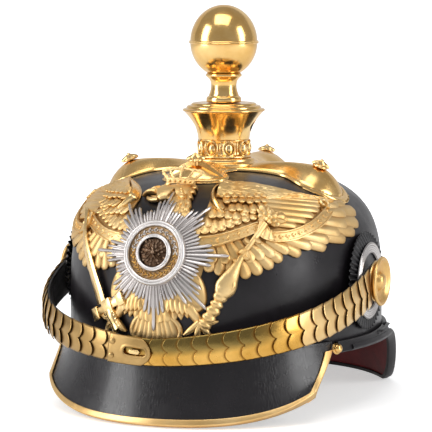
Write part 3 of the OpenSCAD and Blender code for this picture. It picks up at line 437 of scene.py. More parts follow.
# The burnished scales take a painted dark reflection on their upper half.
SCALES_BURNISHED = gilding("scales_burnished", (0.62, 0.33, 0.06), (0.84, 0.50, 0.13), (0.16, 0.34),
                           grain=0.15, dent=0.12, scratch=0.2, top_reflection_tone=(0.27, 0.185, 0.055))
SCALES_DULL = gilding("scales_dull", (0.40, 0.25, 0.09), (0.58, 0.38, 0.155), (0.3, 0.46), grain=0.4,
                      tarnish=0.5)
TRIM = gilding("trim_gilt", (0.76, 0.48, 0.18), (0.88, 0.61, 0.28), (0.34, 0.44), grain=0.3, scratch=0.2)
ROSETTE_GILT = gilding("rosette_gilt", (0.70, 0.42, 0.13), (0.84, 0.56, 0.23), (0.32, 0.42), grain=0.3,
                       scratch=0.2)
BRASS = gilding("fastener_brass", (0.62, 0.38, 0.12), (0.8, 0.55, 0.22), (0.25, 0.4), grain=0.3, tarnish=0.5)
SILVER = plated("star_silver", (0.20, 0.18, 0.17), (0.66, 0.62, 0.60))
SILVER_RING = plated("cockade_silver", (0.22, 0.20, 0.19), (0.72, 0.69, 0.67))
STEEL = plated("steel_nuts", (0.16, 0.14, 0.13), (0.5, 0.49, 0.48), (0.3, 0.5), 0.5)
BRONZE_FIELD = gilding("dark_field", (0.30, 0.19, 0.10), (0.42, 0.28, 0.15), (0.3, 0.45), grain=0.7,
                       tarnish=0.6)
BRONZE = gilding("medallion_bronze", (0.22, 0.14, 0.09), (0.42, 0.30, 0.21), (0.26, 0.38), grain=0.7,
                 tarnish=0.6)
SKULL_LACQUER = lacquer("skull_lacquer")
VISOR_LACQUER = lacquer("visor_lacquer", grey=(0.011, 0.009, 0.011), upright=True, craze=1.0,
                        rough=(0.2, 0.34), gloss=0.42, coat=0.32)
EDGE_LACQUER = lacquer("edging_lacquer", rough=(0.3, 0.5), wear=0.7)
RED_LINING = hide("red_lining", (0.13, 0.010, 0.013), (0.23, 0.022, 0.025))
GREEN_LINING = hide("green_lining", (0.010, 0.030, 0.016), (0.020, 0.050, 0.028))
STRAP_LEATHER = hide("strap_leather", (0.010, 0.009, 0.009), (0.03, 0.026, 0.024))
BAND_LEATHER = hide("sweatband_leather", (0.22, 0.12, 0.06), (0.36, 0.21, 0.11), 0.5, 1100)
COCKADE_BLACK = hide("cockade_black", (0.008, 0.008, 0.009), (0.03, 0.029, 0.031), 0.34, 1500, 0.04)
THREAD = hide("stitch_thread", (0.05, 0.045, 0.04), (0.11, 0.10, 0.09), 0.8, 3000, 0.05)


def silk():
    f = Finish("liner_silk", Roughness=0.42, Sheen_Weight=0.4, Sheen_Roughness=0.35)
    f.put("Base Color", f.blend(f.span(f.noise(40, 5, 0.6), 0.3, 0.7), (0.62, 0.52, 0.38),
                                (0.78, 0.70, 0.56)))
    weave = f.node("ShaderNodeTexWave", Vector=f.place, Scale=900.0, Distortion=0.6)
    f.bump(weave.outputs["Fac"], 0.05, 0.5)
    return f.material


SILK = silk()


# Skull
def skull_surface(u, v):
    a = tau * u
    if v < 0.5:
        t = v / 0.5 * WALL_TOP
        r = radius_at(t)
    else:
        k = (v - 0.5) / 0.5
        r = mix(radius_at(WALL_TOP), ROOF_INNER, k ** 0.9)
        t = height_at(r)
    x, y = HALF_WIDTH * r * sin(a), -HALF_LENGTH * r * cos(a)
    k = clamp((v - 0.9) / 0.1)
    x, y = mix(x, VENT_BORE * sin(a), k), mix(y, FINIAL_Y - VENT_BORE * cos(a), k)
    return (x, y, roof_point(x, y).z if k else SKULL_HEIGHT * t)


bm = skin(144, 64, skull_surface)
piece("skull_shell", bm, SKULL_LACQUER, ["skull"], wall=SKULL_WALL)


# Visors: s runs along the edge from -1 to 1, v from the top of the flange to the edge
FRONT_TURN, FRONT_ARC, FRONT_HALF = 64.5, radians(60), 82.8
FRONT_REACH, SIDE_REACH, FRONT_DROP, SIDE_DROP, FRONT_TOP = 118, 72, 38, 23, 5
REAR_TURN, REAR_DROP, REAR_END_DROP, REAR_TOP = 113.5, 38, 3, 4
FALL_START, FALL_SPAN = 0.66, 0.24


def front_base(s, v):
    turn = radians(FRONT_TURN * s)
    bow = (1 - cos(FRONT_ARC * s)) / (1 - cos(FRONT_ARC))
    edge = (FRONT_HALF * sin(FRONT_ARC * s) / sin(FRONT_ARC), -mix(FRONT_REACH, SIDE_REACH, bow))
    k = max(v, 0) ** 1.5
    return Vector((mix((HALF_WIDTH + CLEAR) * sin(turn), edge[0], k),
                   mix(-(HALF_LENGTH + CLEAR) * cos(turn), edge[1], k),
                   mix(FRONT_TOP, -mix(FRONT_DROP, SIDE_DROP, abs(s) ** 3), v)))


def rear_base(s, v):
    a = radians(180 + s * REAR_TURN)
    back = sin(radians(90 * (1 - min(1, abs(s)))))
    reach = CLEAR + mix(2, 13, back ** 2) * max(v, 0) ** 1.5
    k = clamp((FALL_START - abs(s)) / FALL_SPAN)
    fall = mix(REAR_END_DROP, REAR_DROP, k * k * (3 - 2 * k))
    return Vector(((HALF_WIDTH + reach) * sin(a), -(HALF_LENGTH + reach) * cos(a), mix(REAR_TOP, -fall, v)))


def lifted(base):
    """A surface's point at a height out above it."""
    h = 0.01

    def point(s, v, out=0.0):
        n = (base(s + h, v) - base(s - h, v)).cross(base(s, v - h) - base(s, v + h)).normalized()
        return base(s, v) + n * out
    return point


front_point = lifted(front_base)
rear_point = lifted(rear_base)


def above_rest(p):
    return (p[0], p[1], max(p[2], REST_LEVEL))


def visor(name, point, sides, out, top, stop, columns, wall, material, node):
    bm = bmesh.new()
    lattice(bm, columns, 20, lambda u, v: point(mix(-sides, sides, u), mix(stop, top, v), out))
    settle(bm)
    middle = bm.faces[:][columns * 10]
    if middle.normal.dot(middle.calc_center_median()) < 0:
        turn_over(bm)
    piece(name, bm, material, [node], wall=wall, bevel=min(0.5, wall * 0.3))


visor("front_visor_leather", front_point, 0.989, VISOR_WALL, 0, 0.985, 120, VISOR_WALL, VISOR_LACQUER,
      "front_visor")
visor("front_visor_underside", front_point, 0.986, -LINING_GAP, 0.15, 0.982, 96, LINING_WALL, GREEN_LINING,
      "front_visor_lining")
visor("rear_visor_leather", rear_point, 1.0, VISOR_WALL, 0, 0.985, 220, VISOR_WALL, EDGE_LACQUER,
      "rear_visor")
visor("rear_visor_underside", rear_point, 0.93, -LINING_GAP, 0.22, 0.98, 200, LINING_WALL, RED_LINING,
      "rear_visor_lining")


def channel(width, wall, low, high):
    """The folded strip's section: distance in from the edge, height over the leather's inner face."""
    section = [(width, high + wall), (0.3, high + wall + 0.1), (-0.15, (high + low) / 2),
               (0.3, low - wall - 0.1), (width, low - wall), (width, low), (wall, low), (wall, high),
               (width, high)]
    return rounded(section, 0.9, closed=True)


def folded_strip(bm, path, section):
    n = len(path) - 1
    m = len(section)

    def place(u, v):
        base, inward, normal = path[round(u * n)]
        a, b = section[round(v * m) % m]
        return above_rest(base + inward * a + normal * b)
    lattice(bm, n, m, place)
    bmesh.ops.remove_doubles(bm, verts=bm.verts[:], dist=0.0005)
    bmesh.ops.holes_fill(bm, edges=[e for e in bm.edges if e.is_boundary], sides=0)
    settle(bm)


def normal_of(point, s, v):
    return (point(s, v, 1) - point(s, v, 0)).normalized()


def front_path():
    def side(s, v):
        return (front_base(s - copysign(0.01, s), v) - front_base(s, v)).normalized()

    def edge(s, v):
        return (front_base(s, v - 0.01) - front_base(s, v)).normalized()
    path = []
    for end in (1, -1):
        rise = [(end, mix(0.2, 0.985, i / 14)) for i in range(15)]
        leg = [(front_base(s, v), side(s, v) * 1.7, normal_of(front_point, s, v)) for s, v in rise]
        corner = (front_base(end, 1), side(end, 1) * 1.7 + edge(end, 1), normal_of(front_point, end, 1))
        if end == 1:
            path += leg + [corner]
            for j in range(91):
                s = mix(0.97, -0.97, j / 90)
                path.append((front_base(s, 1), edge(s, 1), normal_of(front_point, s, 1)))
        else:
            path += [corner] + leg[::-1]
    return path


LIP, TRIM_WALL = 0.2, 0.8
LOW, HIGH = -LINING_GAP - LINING_WALL - LIP, VISOR_WALL + LIP
bm = bmesh.new()
folded_strip(bm, front_path(), channel(4.0, TRIM_WALL, LOW, HIGH))
piece("front_visor_binding", bm, TRIM, ["front_visor_trim"], smooth=50)

bm = bmesh.new()
rear_line = []
for j in range(201):
    s = mix(-0.945, 0.945, j / 200)
    inward = (rear_base(s, 0.99) - rear_base(s, 1)).normalized()
    rear_line.append((rear_base(s, 1), inward, normal_of(rear_point, s, 1)))
folded_strip(bm, rear_line, channel(3.0, TRIM_WALL, LOW, HIGH))
piece("rear_visor_binding", bm, EDGE_LACQUER, ["rear_visor_edging"], smooth=50)

KNOB_SEAT = 1.76
bm = bmesh.new()
for end in (1, -1):
    at = front_point(end, 0.2, VISOR_WALL + KNOB_SEAT) + Vector((0, 2, 0))
    knob = lathe([(0, 0), (3.3, 0), (3.3, 0.7), (2.5, 1.1), (2.8, 2.0), (2.2, 3.2), (1.1, 3.8), (0, 3.9)],
                 0.5, 32, facing(at, normal_of(front_point, end, 0.2)))
    for v in knob.verts:
        v.co = Vector(above_rest(v.co))
    absorb(bm, knob)
close_up(bm)
piece("binding_end_knobs", bm, GILT, ["trim_end_studs"])


STITCH = Matrix.Diagonal((1.5, 0.38, 0.304, 1))


def stitch_row(name, points):
    """Thread stitches lying on the leather: each is a small drawn-out ball."""
    bm = bmesh.new()
    for here, ahead, normal in points:
        way = (ahead - here).normalized()
        side = normal.cross(way)
        turn = Matrix((way, side, normal)).transposed().to_4x4()
        bmesh.ops.create_icosphere(bm, subdivisions=1, radius=0.5, matrix=shifted(*here) @ turn @ STITCH)
    piece(name, bm, THREAD, smooth=80)


def row_on(point, v, out, start, end, count):
    row = []
    for i in range(count):
        s = mix(start, end, i / (count - 1))
        here = point(s, v, out)
        row.append((here, point(s + (end - start) / count * 0.3, v, out), normal_of(point, s, v)))
    return row


stitch_row("front_visor_stitches", row_on(front_point, 0.055, VISOR_WALL, -0.97, 0.97, 84))
stitch_row("rear_visor_stitches", row_on(rear_point, 0.05, VISOR_WALL, -0.97, 0.97, 150))


# Rear spine and its studs
def spine_surface(u, v):
    j = (u - 0.5) * 2
    spread = 3.2 * mix(0.85, 1.25, (1 - v) ** 3)
    rib = 0.5 * exp(-((abs(j) - 0.62) / 0.13) ** 2)
    body = 1.3 * (1 - j * j) + rib if abs(j) < 0.999 else 0
    end = min(1, (1 - v) * 14, v * 14) ** 0.5
    return wall_point(180 + j * spread, mix(6, 80, v), 0.3 + (0.6 + body) * end)


bm = bmesh.new()
lattice(bm, 24, 60, spine_surface)
settle(bm, (0, 1, 0))
piece("rear_spine_strip", bm, GILT, ["rear_spine"], wall=0.5)
bm = bmesh.new()
for z in (14, 44):
    p = wall_point(180, z)
    n = skull_normal(p)
    absorb(bm, lathe([(0, 0), (2.4, 0), (2.4, 0.8), (1.9, 1.5), (1.2, 1.8), (0, 1.9)], 0.4, 32,
                     facing(p + n * 3, n)))
close_up(bm)
piece("spine_screws", bm, GILT, ["rear_spine_studs"])

# Cross-shaped base: its arms point right, back, left and front
ARMS = [(0, 57.5, 19), (90, 68.5, 19), (180, 57.5, 19), (270, 42, 12.92)]
WAIST, HALF_WAIST, HALF_LOBE, ARM_START, ARM_HEIGHT, LIP_WIDTH = 0.68, 12.5, 20.0, 12.0, 8.4, 3.4


def arm_half(arm, d):
    waist = arm[1] * WAIST
    if d > arm[1]:
        return HALF_LOBE * sqrt(max(0.0004, 1 - ((d - arm[1]) / arm[2]) ** 2))
    if d > waist:
        return mix(HALF_WAIST, HALF_LOBE, (1 - cos(pi * (d - waist) / (arm[1] - waist))) / 2)
    return mix(HALF_WAIST, 18.9, max(0, (waist - d) / (waist - ARM_START)) ** 2)


def arm_rise(arm, d):
    left = max(0.0, (arm[1] + arm[2] - d) / arm[2])
    return ARM_HEIGHT * (left ** 0.5 * (1.9 - 0.9 * left) if d > arm[1] else (d / arm[1]) ** 1.3)


def arm_surface(arm):
    turn = radians(arm[0])

    def place(u, v):
        d = mix(ARM_START, arm[1] + arm[2] - 0.01, 1 - (1 - u) ** 1.5)
        half = arm_half(arm, d)
        k = sin((v - 0.5) * pi)
        across = k * half
        edge = (1 - abs(k)) * half
        if d > arm[1]:
            ring = hypot((d - arm[1]) / arm[2], across / HALF_LOBE)
            edge = max(0, 1 - ring) * min(arm[2], HALF_LOBE)
        inner = clamp((edge - LIP_WIDTH) / max(1.0, min(half, HALF_LOBE) - LIP_WIDTH))
        dome = (ARM_HEIGHT if d > arm[1] else arm_rise(arm, d)) * (1 - (1 - inner) ** 1.8) ** 1.25
        lip = 1.7 * clamp(edge / 0.7) ** 0.5
        groove = 0.8 * exp(-((edge - 3.1) / 0.5) ** 2)
        x = d * cos(turn) - across * sin(turn)
        y = FINIAL_Y + d * sin(turn) + across * cos(turn)
        return roof_point(x, y, CLEAR + lip - groove + dome)
    return place


bm = bmesh.new()
for arm in ARMS:
    lattice(bm, 64, 48, arm_surface(arm))
settle(bm)
for f in bm.faces:
    if f.normal.z < 0:
        f.normal_flip()
hub = lathe([(VENT_BORE, 101.0), (VENT_BORE, 104.6), (16.9, 104.6), (18.4, 104.2), (18.6, 102.6),
             (20.0, 102.2), (21, 101.6), (21, 99.4), (20.4, 98.9)], 0.6, 96, shifted(0, FINIAL_Y, 0))
settle(hub)
absorb(bm, hub)
piece("cross_plate", bm, GILT, ["cross_base"], wall=0.9)

# Collar with eggs in ring frames, and darts between them
COLLAR_Z, EGGS, EGG_TURN = 104.6, 9, 24


def egg_frame(u, v):
    """The ring round an egg, bent to the collar."""
    a, b = tau * u, tau * v
    return (15.2 + 0.85 * cos(b) - 0.5 * cos(a) ** 2, (3.55 + 0.62 * sin(b)) * cos(a),
            (4.35 + 0.62 * sin(b)) * sin(a))


bm = lathe([(VENT_BORE, 0), (15.9, 0), (16.6, 0.5), (16.5, 1.2), (15.3, 1.7), (14.5, 2.4), (14.3, 8.4),
            (14.5, 9.6), (15.0, 10.3), (14.9, 10.8), (VENT_BORE, 10.8), (VENT_BORE, 0)], 0.4, 96,
           shifted(0, FINIAL_Y, COLLAR_Z))
for k in range(EGGS):
    spot = shifted(0, FINIAL_Y, COLLAR_Z + 5.7) @ about(EGG_TURN + 360 * k / EGGS)
    ball(bm, spot @ shifted(14.5, 0, -0.1), 1.0, 24, 16, (2.1, 2.5, 3.5))
    dart = spot @ about(180 / EGGS)
    for end, long in ((1, 3.6), (-1, 5.6)):
        bmesh.ops.create_cone(bm, cap_ends=True, segments=8, radius1=1.0, radius2=0.1, depth=long,
                              matrix=dart @ shifted(14.6, 0, end * 2.2) @ Matrix.Diagonal((1, 1, end, 1)))
    ring = skin(36, 10, egg_frame)
    move(ring, spot)
    absorb(bm, ring)
close_up(bm)
piece("egg_collar", bm, GILT_BRIGHT_EDGE, ["beaded_collar"], smooth=45)

# Neck with its vent holes, cap, stem and ball
NECK_Z, CAP_Z, STEM_Z, BALL_Z = 115.4, 132.4, 137.2, 173.1
BALL_R, BALL_WALL, BALL_CUT, JOINT_GAP = 20, 1.2, 18, 0.15


def turned_piece(name, profile, z, body, node, radius):
    bm = lathe(profile, radius, 128, shifted(0, FINIAL_Y, z))
    close_up(bm)
    return piece(name, bm, GILT_FINIAL, [node], body, smooth=45)


NECK_RADII, NECK_FLARE, NECK_WALL = [15.3, 15.7, 16.4, 17.5, 19.2, 21.2, 23.6], 16.4, 1.9
neck_side = [(value_along(NECK_RADII, i / 20), NECK_FLARE * i / 20) for i in range(21)]
neck = turned_piece("vent_neck", [(14.4, 0)] + neck_side + [(24.6, 17), (22.8, 17)]
                    + [(r - NECK_WALL, z) for r, z in neck_side[::-1]] + [(13.4, 0), (14.4, 0)], NECK_Z,
                    "helmet", "neck", 0.3)
VENT = 3.2
cutters = bmesh.new()
for bearing in (10, 190):
    bmesh.ops.create_cone(cutters, cap_ends=True, segments=48, radius1=VENT, radius2=VENT, depth=16,
                          matrix=shifted(0, FINIAL_Y, NECK_Z + 8.16) @ about(bearing) @ shifted(16.6, 0, 0)
                          @ about(90, "Y"))
bmesh.ops.scale(cutters, vec=(MM, MM, MM), verts=cutters.verts[:])
cut_holes(neck, cutters)

turned_piece("stepped_cap", [(5.06, -4.5), (8.2, -4.5), (8.2, 0), (24.4, 0), (24.6, 0.5), (24.3, 1.0),
                             (23.2, 1.4), (22.2, 1.5), (22.1, 2.6), (21.2, 3.2), (19.6, 3.3), (19.3, 4.2),
                             (18.4, 4.75), (17, 4.4), (5.06, 4.8), (5.06, -4.5)], CAP_Z, "helmet",
             "neck_cap", 0.45)
turned_piece("baluster_stem", [(0, 0), (10.0, 0), (10.4, 0.6), (10.4, 2.4), (9.9, 3.3), (9.0, 3.7),
                               (8.8, 4.6), (8.1, 6.4), (7.65, 8.6), (7.6, 10.4), (7.9, 12.2), (8.7, 13.7),
                               (9.6, 14.6), (10.6, 15.4), (10.85, 16.2), (10.4, 17.0), (9.6, 17.6),
                               (0, 17.6)], STEM_Z + JOINT_GAP, "finial", "finial_stem", 0.5)
LOW_AXIS = BALL_CUT / sqrt(1 - (10.2 / BALL_R) ** 2)


def ball_arc(radius, height, angle, count):
    """A quarter of an ellipse's outline, or less, from its widest point."""
    turns = [radians(angle) * i / count for i in range(count + 1)]
    return [(radius * cos(a), height * sin(a)) for a in turns]


lower = ball_arc(BALL_R, LOW_AXIS, -degrees(asin(BALL_CUT / LOW_AXIS)), 24)
turned_piece("ball_lower_half", lower + [(max(0.1, r - BALL_WALL), z + (0.0 if i else 1.0)) for i, (r, z) in
                                         enumerate(lower[::-1])] + [lower[0]], BALL_Z - JOINT_GAP,
             "finial", "ball_lower", 0.2)
upper = ball_arc(BALL_R, 21.9, 90, 28)
inner = ball_arc(BALL_R - BALL_WALL, 21.9 - BALL_WALL, 90, 28)
turned_piece("ball_upper_half", upper + inner[::-1] + [upper[0]], BALL_Z + JOINT_GAP, "finial", "ball_upper",
             0.2)
turned_piece("ball_joint_band", [(20.06, -1.0), (20.5, -0.85), (20.9, -0.45), (20.65, -0.1), (20.65, 0.1),
                                 (20.9, 0.45), (20.5, 0.85), (20.06, 1.0), (20.06, -1.0)], BALL_Z, "finial",
             "ball_band", 0.15)

# Shapes pressed on the skull's front are drawn flat, as (s, w, height), and cast on it from one point inside
CAST_Y, CAST_Z, CAST_R = 20.0, 25.0, 110.0

# The star's place on the skull, and its outline
STAR_HEIGHT = 57.5
star_p = wall_point(0, STAR_HEIGHT)
star_place = facing(star_p, skull_normal(star_p))
STAR_SCALE = CAST_R / (star_p - Vector((0, CAST_Y, CAST_Z))).length
STAR_W = atan2(star_p.z - CAST_Z, CAST_Y - star_p.y) * CAST_R


def in_star(r, a):
    """A point of the star, by radius and angle, in the flat drawing."""
    x, y = clock(r, a)
    return (x * STAR_SCALE, STAR_W + y * STAR_SCALE)


STAR_TIP, STAR_HOLLOW, EIGHTH = 43.0, 25.8, tau / 8


def star_edge(a):
    """How far the star reaches at angle a: straight edges between eight points and eight hollows."""
    b = abs((a / EIGHTH + 0.5) % 1 - 0.5) * EIGHTH
    x, y = STAR_HOLLOW * cos(EIGHTH / 2), STAR_HOLLOW * sin(EIGHTH / 2)
    k = STAR_TIP * tan(b) / (y + (STAR_TIP - x) * tan(b))
    return mix(STAR_TIP, x, k) / cos(b)


def cast_on_skull(bm, low, high):
    """Bends a flat drawing onto the skull, and notes how deep each point lies, as a mask for painted shade in
    the relief's low places.
    """
    flat = np.array([v.co for v in bm.verts], float).reshape(-1, 3)
    turn, lift, out = flat[:, 0] / CAST_R, flat[:, 1] / CAST_R, flat[:, 2]
    tx, tz = np.tan(turn), np.tan(lift) / np.cos(turn)
    near, far = np.full(len(flat), 8.0), np.full(len(flat), 190.0)
    for _ in range(34):
        d = (near + far) / 2
        r = np.hypot(tx * d / (HALF_WIDTH + out), (CAST_Y - d) / (HALF_LENGTH + out))
        t = np.abs(CAST_Z + tz * d) / (SKULL_HEIGHT + out)
        beyond = r ** CROWN_FULL + t ** CROWN_SQUARE > 1
        far, near = np.where(beyond, d, far), np.where(beyond, near, d)
    layer = bm.verts.layers.float.new("recess_shade")
    for v, x, d, z in zip(bm.verts, tx, near, tz):
        # Painted shade mask: the lower a point lies in the relief, the darker its colour.
        v[layer] = clamp((high - v.co.z) / (high - low)) ** 1.7 * 0.8
        v.co = (x * d, CAST_Y - d, CAST_Z + z * d)
    settle(bm)


def raised(bm, columns, rows, place, low):
    """A relief with walls down to low: place gives (s, w, height)."""
    made = lattice(bm, columns, rows, place)
    edges = {e for v in made for e in v.link_edges if e.is_boundary}
    walls = bmesh.ops.extrude_edge_only(bm, edges=list(edges))["geom"]
    feet = [g for g in walls if isinstance(g, bmesh.types.BMVert)]
    for v in feet:
        v.co.z = low
    rim = [g for g in walls if isinstance(g, bmesh.types.BMEdge) and all(end in feet for end in g.verts)]
    bmesh.ops.edgeloop_fill(bm, edges=rim)


def feather(bm, root, tip, half, base, lift, low=0.3, cup=0.8, shaft=0.22, narrow=0.7, pointed=False,
            barbs=0.0, grid=(8, 10)):
    """One feather with a rounded tip, arched across, with a shaft down its middle."""
    root, tip = Vector(root), Vector(tip)
    way = tip - root
    length = way.length
    way.normalize()
    side = Vector((-way.y, way.x))
    cap = clamp(half / length * (1.6 if pointed else 1.0), 0.05, 0.9)

    def place(u, v):
        x = sin(v * pi / 2) ** 1.1
        a = sin((u - 0.5) * pi)
        wide = half * mix(narrow, 1, min(1, x / 0.6))
        if x > 1 - cap:
            k = clamp((x - 1 + cap) / cap)
            wide *= (1 - k) ** 0.8 + 0.03 if pointed else sqrt(max(0.002, 1 - k * k))
        z = base + lift * x + cup * (1 - a * a) * min(1, (1 - x) * 6 + 0.25)
        z += shaft * exp(-(a / 0.16) ** 2) * (1 - x ** 4)
        z += barbs * sin((x * length * 2.6 - abs(a) * half * 2.2)) * (1 - a * a)
        p = root + way * (x * length) + side * (a * wide)
        return (p.x, p.y, z)
    raised(bm, *grid, place, low)


def band(bm, upper, lower, low, profile, columns=40, rows=10):
    """A strip between two drawn edges. profile(u, v) gives its height."""
    def place(u, v):
        p = mix(along(lower, u), along(upper, u), v)
        return (p[0], p[1], profile(u, v))
    raised(bm, columns, rows, place, low)


def rod(bm, line, radii, low, lift=0.0, columns=None, sides=12):
    """A half-round rod along a drawn line, standing on low."""
    def place(u, v):
        here, side = course(line, u)
        r, a = value_along(radii, u), pi * v
        return (*(here + side * r * cos(a)), low + lift + 0.15 + r * sin(a))
    raised(bm, columns or len(line) * 6, sides, place, low)


LEAN_FROM = 58


def both_sides(bm):
    """Copies the drawn shape to the other wing, whose shoulder leans outward."""
    for v in bmesh.ops.duplicate(bm, geom=bm.faces[:])["geom"]:
        if isinstance(v, bmesh.types.BMVert):
            over = max(0.0, v.co.y - LEAN_FROM)
            v.co.x = -v.co.x - over * (0.62 + 0.035 * over) * clamp((100 - v.co.x) / 60)


# Star-shaped studs on the cross arms, each on a rounded seat
bm = bmesh.new()
for arm in ARMS:
    turn = radians(arm[0])
    x, y = arm[1] * cos(turn), FINIAL_Y + arm[1] * sin(turn)
    p = roof_point(x, y)
    n = skull_normal(p)
    seat = facing(p + n * (CLEAR + 1.75 + ARM_HEIGHT), n, spin=0.3)
    stud = lathe([(0, -0.3), (4.7, -0.3), (4.8, 0.5), (4.2, 1.1), (2.5, 1.7), (0, 1.9)], 0.4, 32)
    for i in range(8):
        way = Vector((cos(EIGHTH * i), sin(EIGHTH * i)))
        feather(stud, way * 0.7, way * mix(5.4, 4.5, i % 2), 1.7, 2.7, -1.9, low=0.1, cup=0.7, shaft=0.35,
                grid=(6, 8), pointed=True)
    ball(stud, shifted(0, 0, 3.2), 1.25, 14, 8)
    move(stud, seat)
    absorb(bm, stud)
    bmesh.ops.create_cone(bm, cap_ends=True, segments=24, radius1=1.7, radius2=1.7, depth=17,
                          matrix=seat @ shifted(0, 0, -8.6))
settle(bm)
piece("star_studs", bm, GILT_BRIGHT_EDGE, ["cross_studs"], smooth=40)

# Wings of the eagle
WING_TOP = [(30.5, 77), (38.9, 79.6), (52.9, 79), (71.7, 74.4), (87.5, 70.4), (104, 67.8), (118, 65.5)]
WING_FOOT = [(27, 62), (36, 60.5), (50, 61), (62, 62), (75, 63.4), (98, 63.2), (112, 62.8)]
PRIMARIES = [[(106, 63.5), (131, 63.6), 3.5], [(104, 58), (141, 58.6), 4.3], [(100, 51.5), (137, 50), 4.3],
             [(92, 45.5), (128, 44), 3.9], [(83, 41), (115, 39.6), 3.7], [(72, 38), (95.5, 34.2), 3.5],
             [(60, 37), (76.5, 30), 3.3], [(51.5, 36), (64.5, 26.3), 3.2], [(46, 34), (59, 22.6), 3.1],
             [(43, 31), (52.5, 19.4), 3.1], [(41, 29), (45.5, 17.2), 3.0], [(37, 29), (37.8, 18.2), 3.0],
             [(32, 28), (31.6, 18.4), 2.9], [(27, 28), (26, 20), 2.9]]
SHORTER = [[(99, 62), (119, 62), 3.0], [(99, 56.5), (123, 56), 3.4], [(95, 50), (119, 48.4), 3.4],
           [(86, 44.6), (109, 42.6), 3.2], [(77, 40.5), (98, 38.2), 3.0], [(66, 38), (84, 34.2), 2.9],
           [(56, 37), (69, 31.2), 2.8], [(49, 37), (60, 28.6), 2.7], [(44, 37), (54, 27), 2.7],
           [(40, 36), (48.6, 25.5), 2.7], [(36, 35), (42.4, 24.6), 2.7], [(31, 35), (35.4, 24.4), 2.7],
           [(26, 34), (28.6, 24.4), 2.6]]
BARS = [[(59, 65.2), (102, 63.4), 1.9], [(57, 61.8), (99, 60.4), 2.1], [(55, 58.2), (96, 56.8), 2.1],
        [(54, 54.4), (90, 52.6), 2.1], [(53, 50.8), (83, 48.8), 2.0], [(52, 47.4), (75, 45.4), 1.9]]
SCALLOPS = [[(34.5, 60.5), (39, 61), (43.5, 61.2), (48.5, 61.5), (53.5, 62), (58, 62.6)],
            [(34.7, 56.6), (38.8, 57.6), (43.4, 57.6), (48.3, 57.2), (53, 58.2), (57.5, 58.6)],
            [(31, 52), (37.9, 51.4), (42, 52), (45.8, 51), (50.5, 52.2), (55.5, 54)],
            [(27.5, 47), (31.5, 47.4), (36, 47), (40.3, 46.6), (45, 49), (49.8, 50.6)],
            [(20, 37.6), (24.4, 38.4), (28.6, 38.8), (32.8, 40.2), (37, 42), (41, 44), (45.5, 45.6),
             (50, 47.2)],
            [(21.3, 40.6), (25.3, 42), (29.6, 40.6), (33.8, 42.4), (37.2, 44.6), (41, 47.4), (45.5, 48)]]
RIBBON_ONE = ([(17, 36), (28.4, 37.8), (36.2, 40), (43.7, 43), (50, 45.7), (55, 47.3)],
              [(17, 31), (28.8, 32.1), (36.3, 34.5), (43.6, 37.2), (48.7, 39.4), (52, 41)])
RIBBON_TWO = ([(58.9, 40.9), (65.1, 41.4), (71.2, 42.6), (78, 44.9), (85.8, 48.4), (93.6, 53),
               (104.1, 59.5)],
              [(60.6, 35.8), (67.5, 36.2), (73.6, 37.3), (80.3, 39.6), (90.4, 43.8), (101.7, 50.4),
               (108, 55.4)])

bm = bmesh.new()
edge_top = [(24, 66), (30, 76), (38, 79), (53, 78.4), (72, 73.6), (90, 69.4), (108, 66.6), (121, 63)]
edge_low = [(20, 25), (31, 24), (44, 27), (58, 32), (76, 37), (96, 42), (110, 48), (121, 56)]
band(bm, edge_top, edge_low, 0.3, lambda u, v: 1.0, 40, 24)
for root, tip, half in PRIMARIES:
    feather(bm, root, tip, half, 0.7, 0.5, cup=1.1, shaft=0.3, barbs=0.05)
for root, tip, half in SHORTER:
    feather(bm, root, tip, half, 1.3, 0.8, low=0.6, shaft=0.25, barbs=0.05)
for root, tip, half in BARS:
    feather(bm, root, tip, half, 1.7, 0.7, low=0.6, cup=0.7, shaft=0.0, narrow=0.9)
for row, tips in enumerate(SCALLOPS):
    for tip in tips:
        sway = 0.8 * noise.noise(Vector((tip[0] * 0.3, tip[1] * 0.3, 2)))
        feather(bm, Vector(tip) + Vector((-1.5 + sway, 5.6)), tip, 2.45, 2.3 - 0.28 * row, 1.5, low=0.6,
                cup=0.6, shaft=0.2, narrow=0.85, grid=(8, 8))


def barb_lines(u, v):
    """Fine uneven hatching along the wing."""
    return noise.noise(Vector((u * 11, v * 25, 0))) + 0.6 * noise.noise(Vector((u * 24, v * 48, 5)))


def covert_height(u, v):
    swell = sin(pi * clamp(v, 0.02, 0.98)) ** 0.45
    shoulder = 2.4 * clamp(1 - u / 0.16) ** 1.5 * clamp(v * 3)
    return 1.5 + (2.5 - 0.8 * u) * swell + shoulder + 0.34 * barb_lines(u, v)


band(bm, WING_TOP, WING_FOOT, 0.6, covert_height, 110, 56)


def ribbon_height(u, v):
    border = 0.9 * clamp((abs(v - 0.5) - 0.36) * 30)
    return 2.6 + border + 0.35 * sin(u * 5)


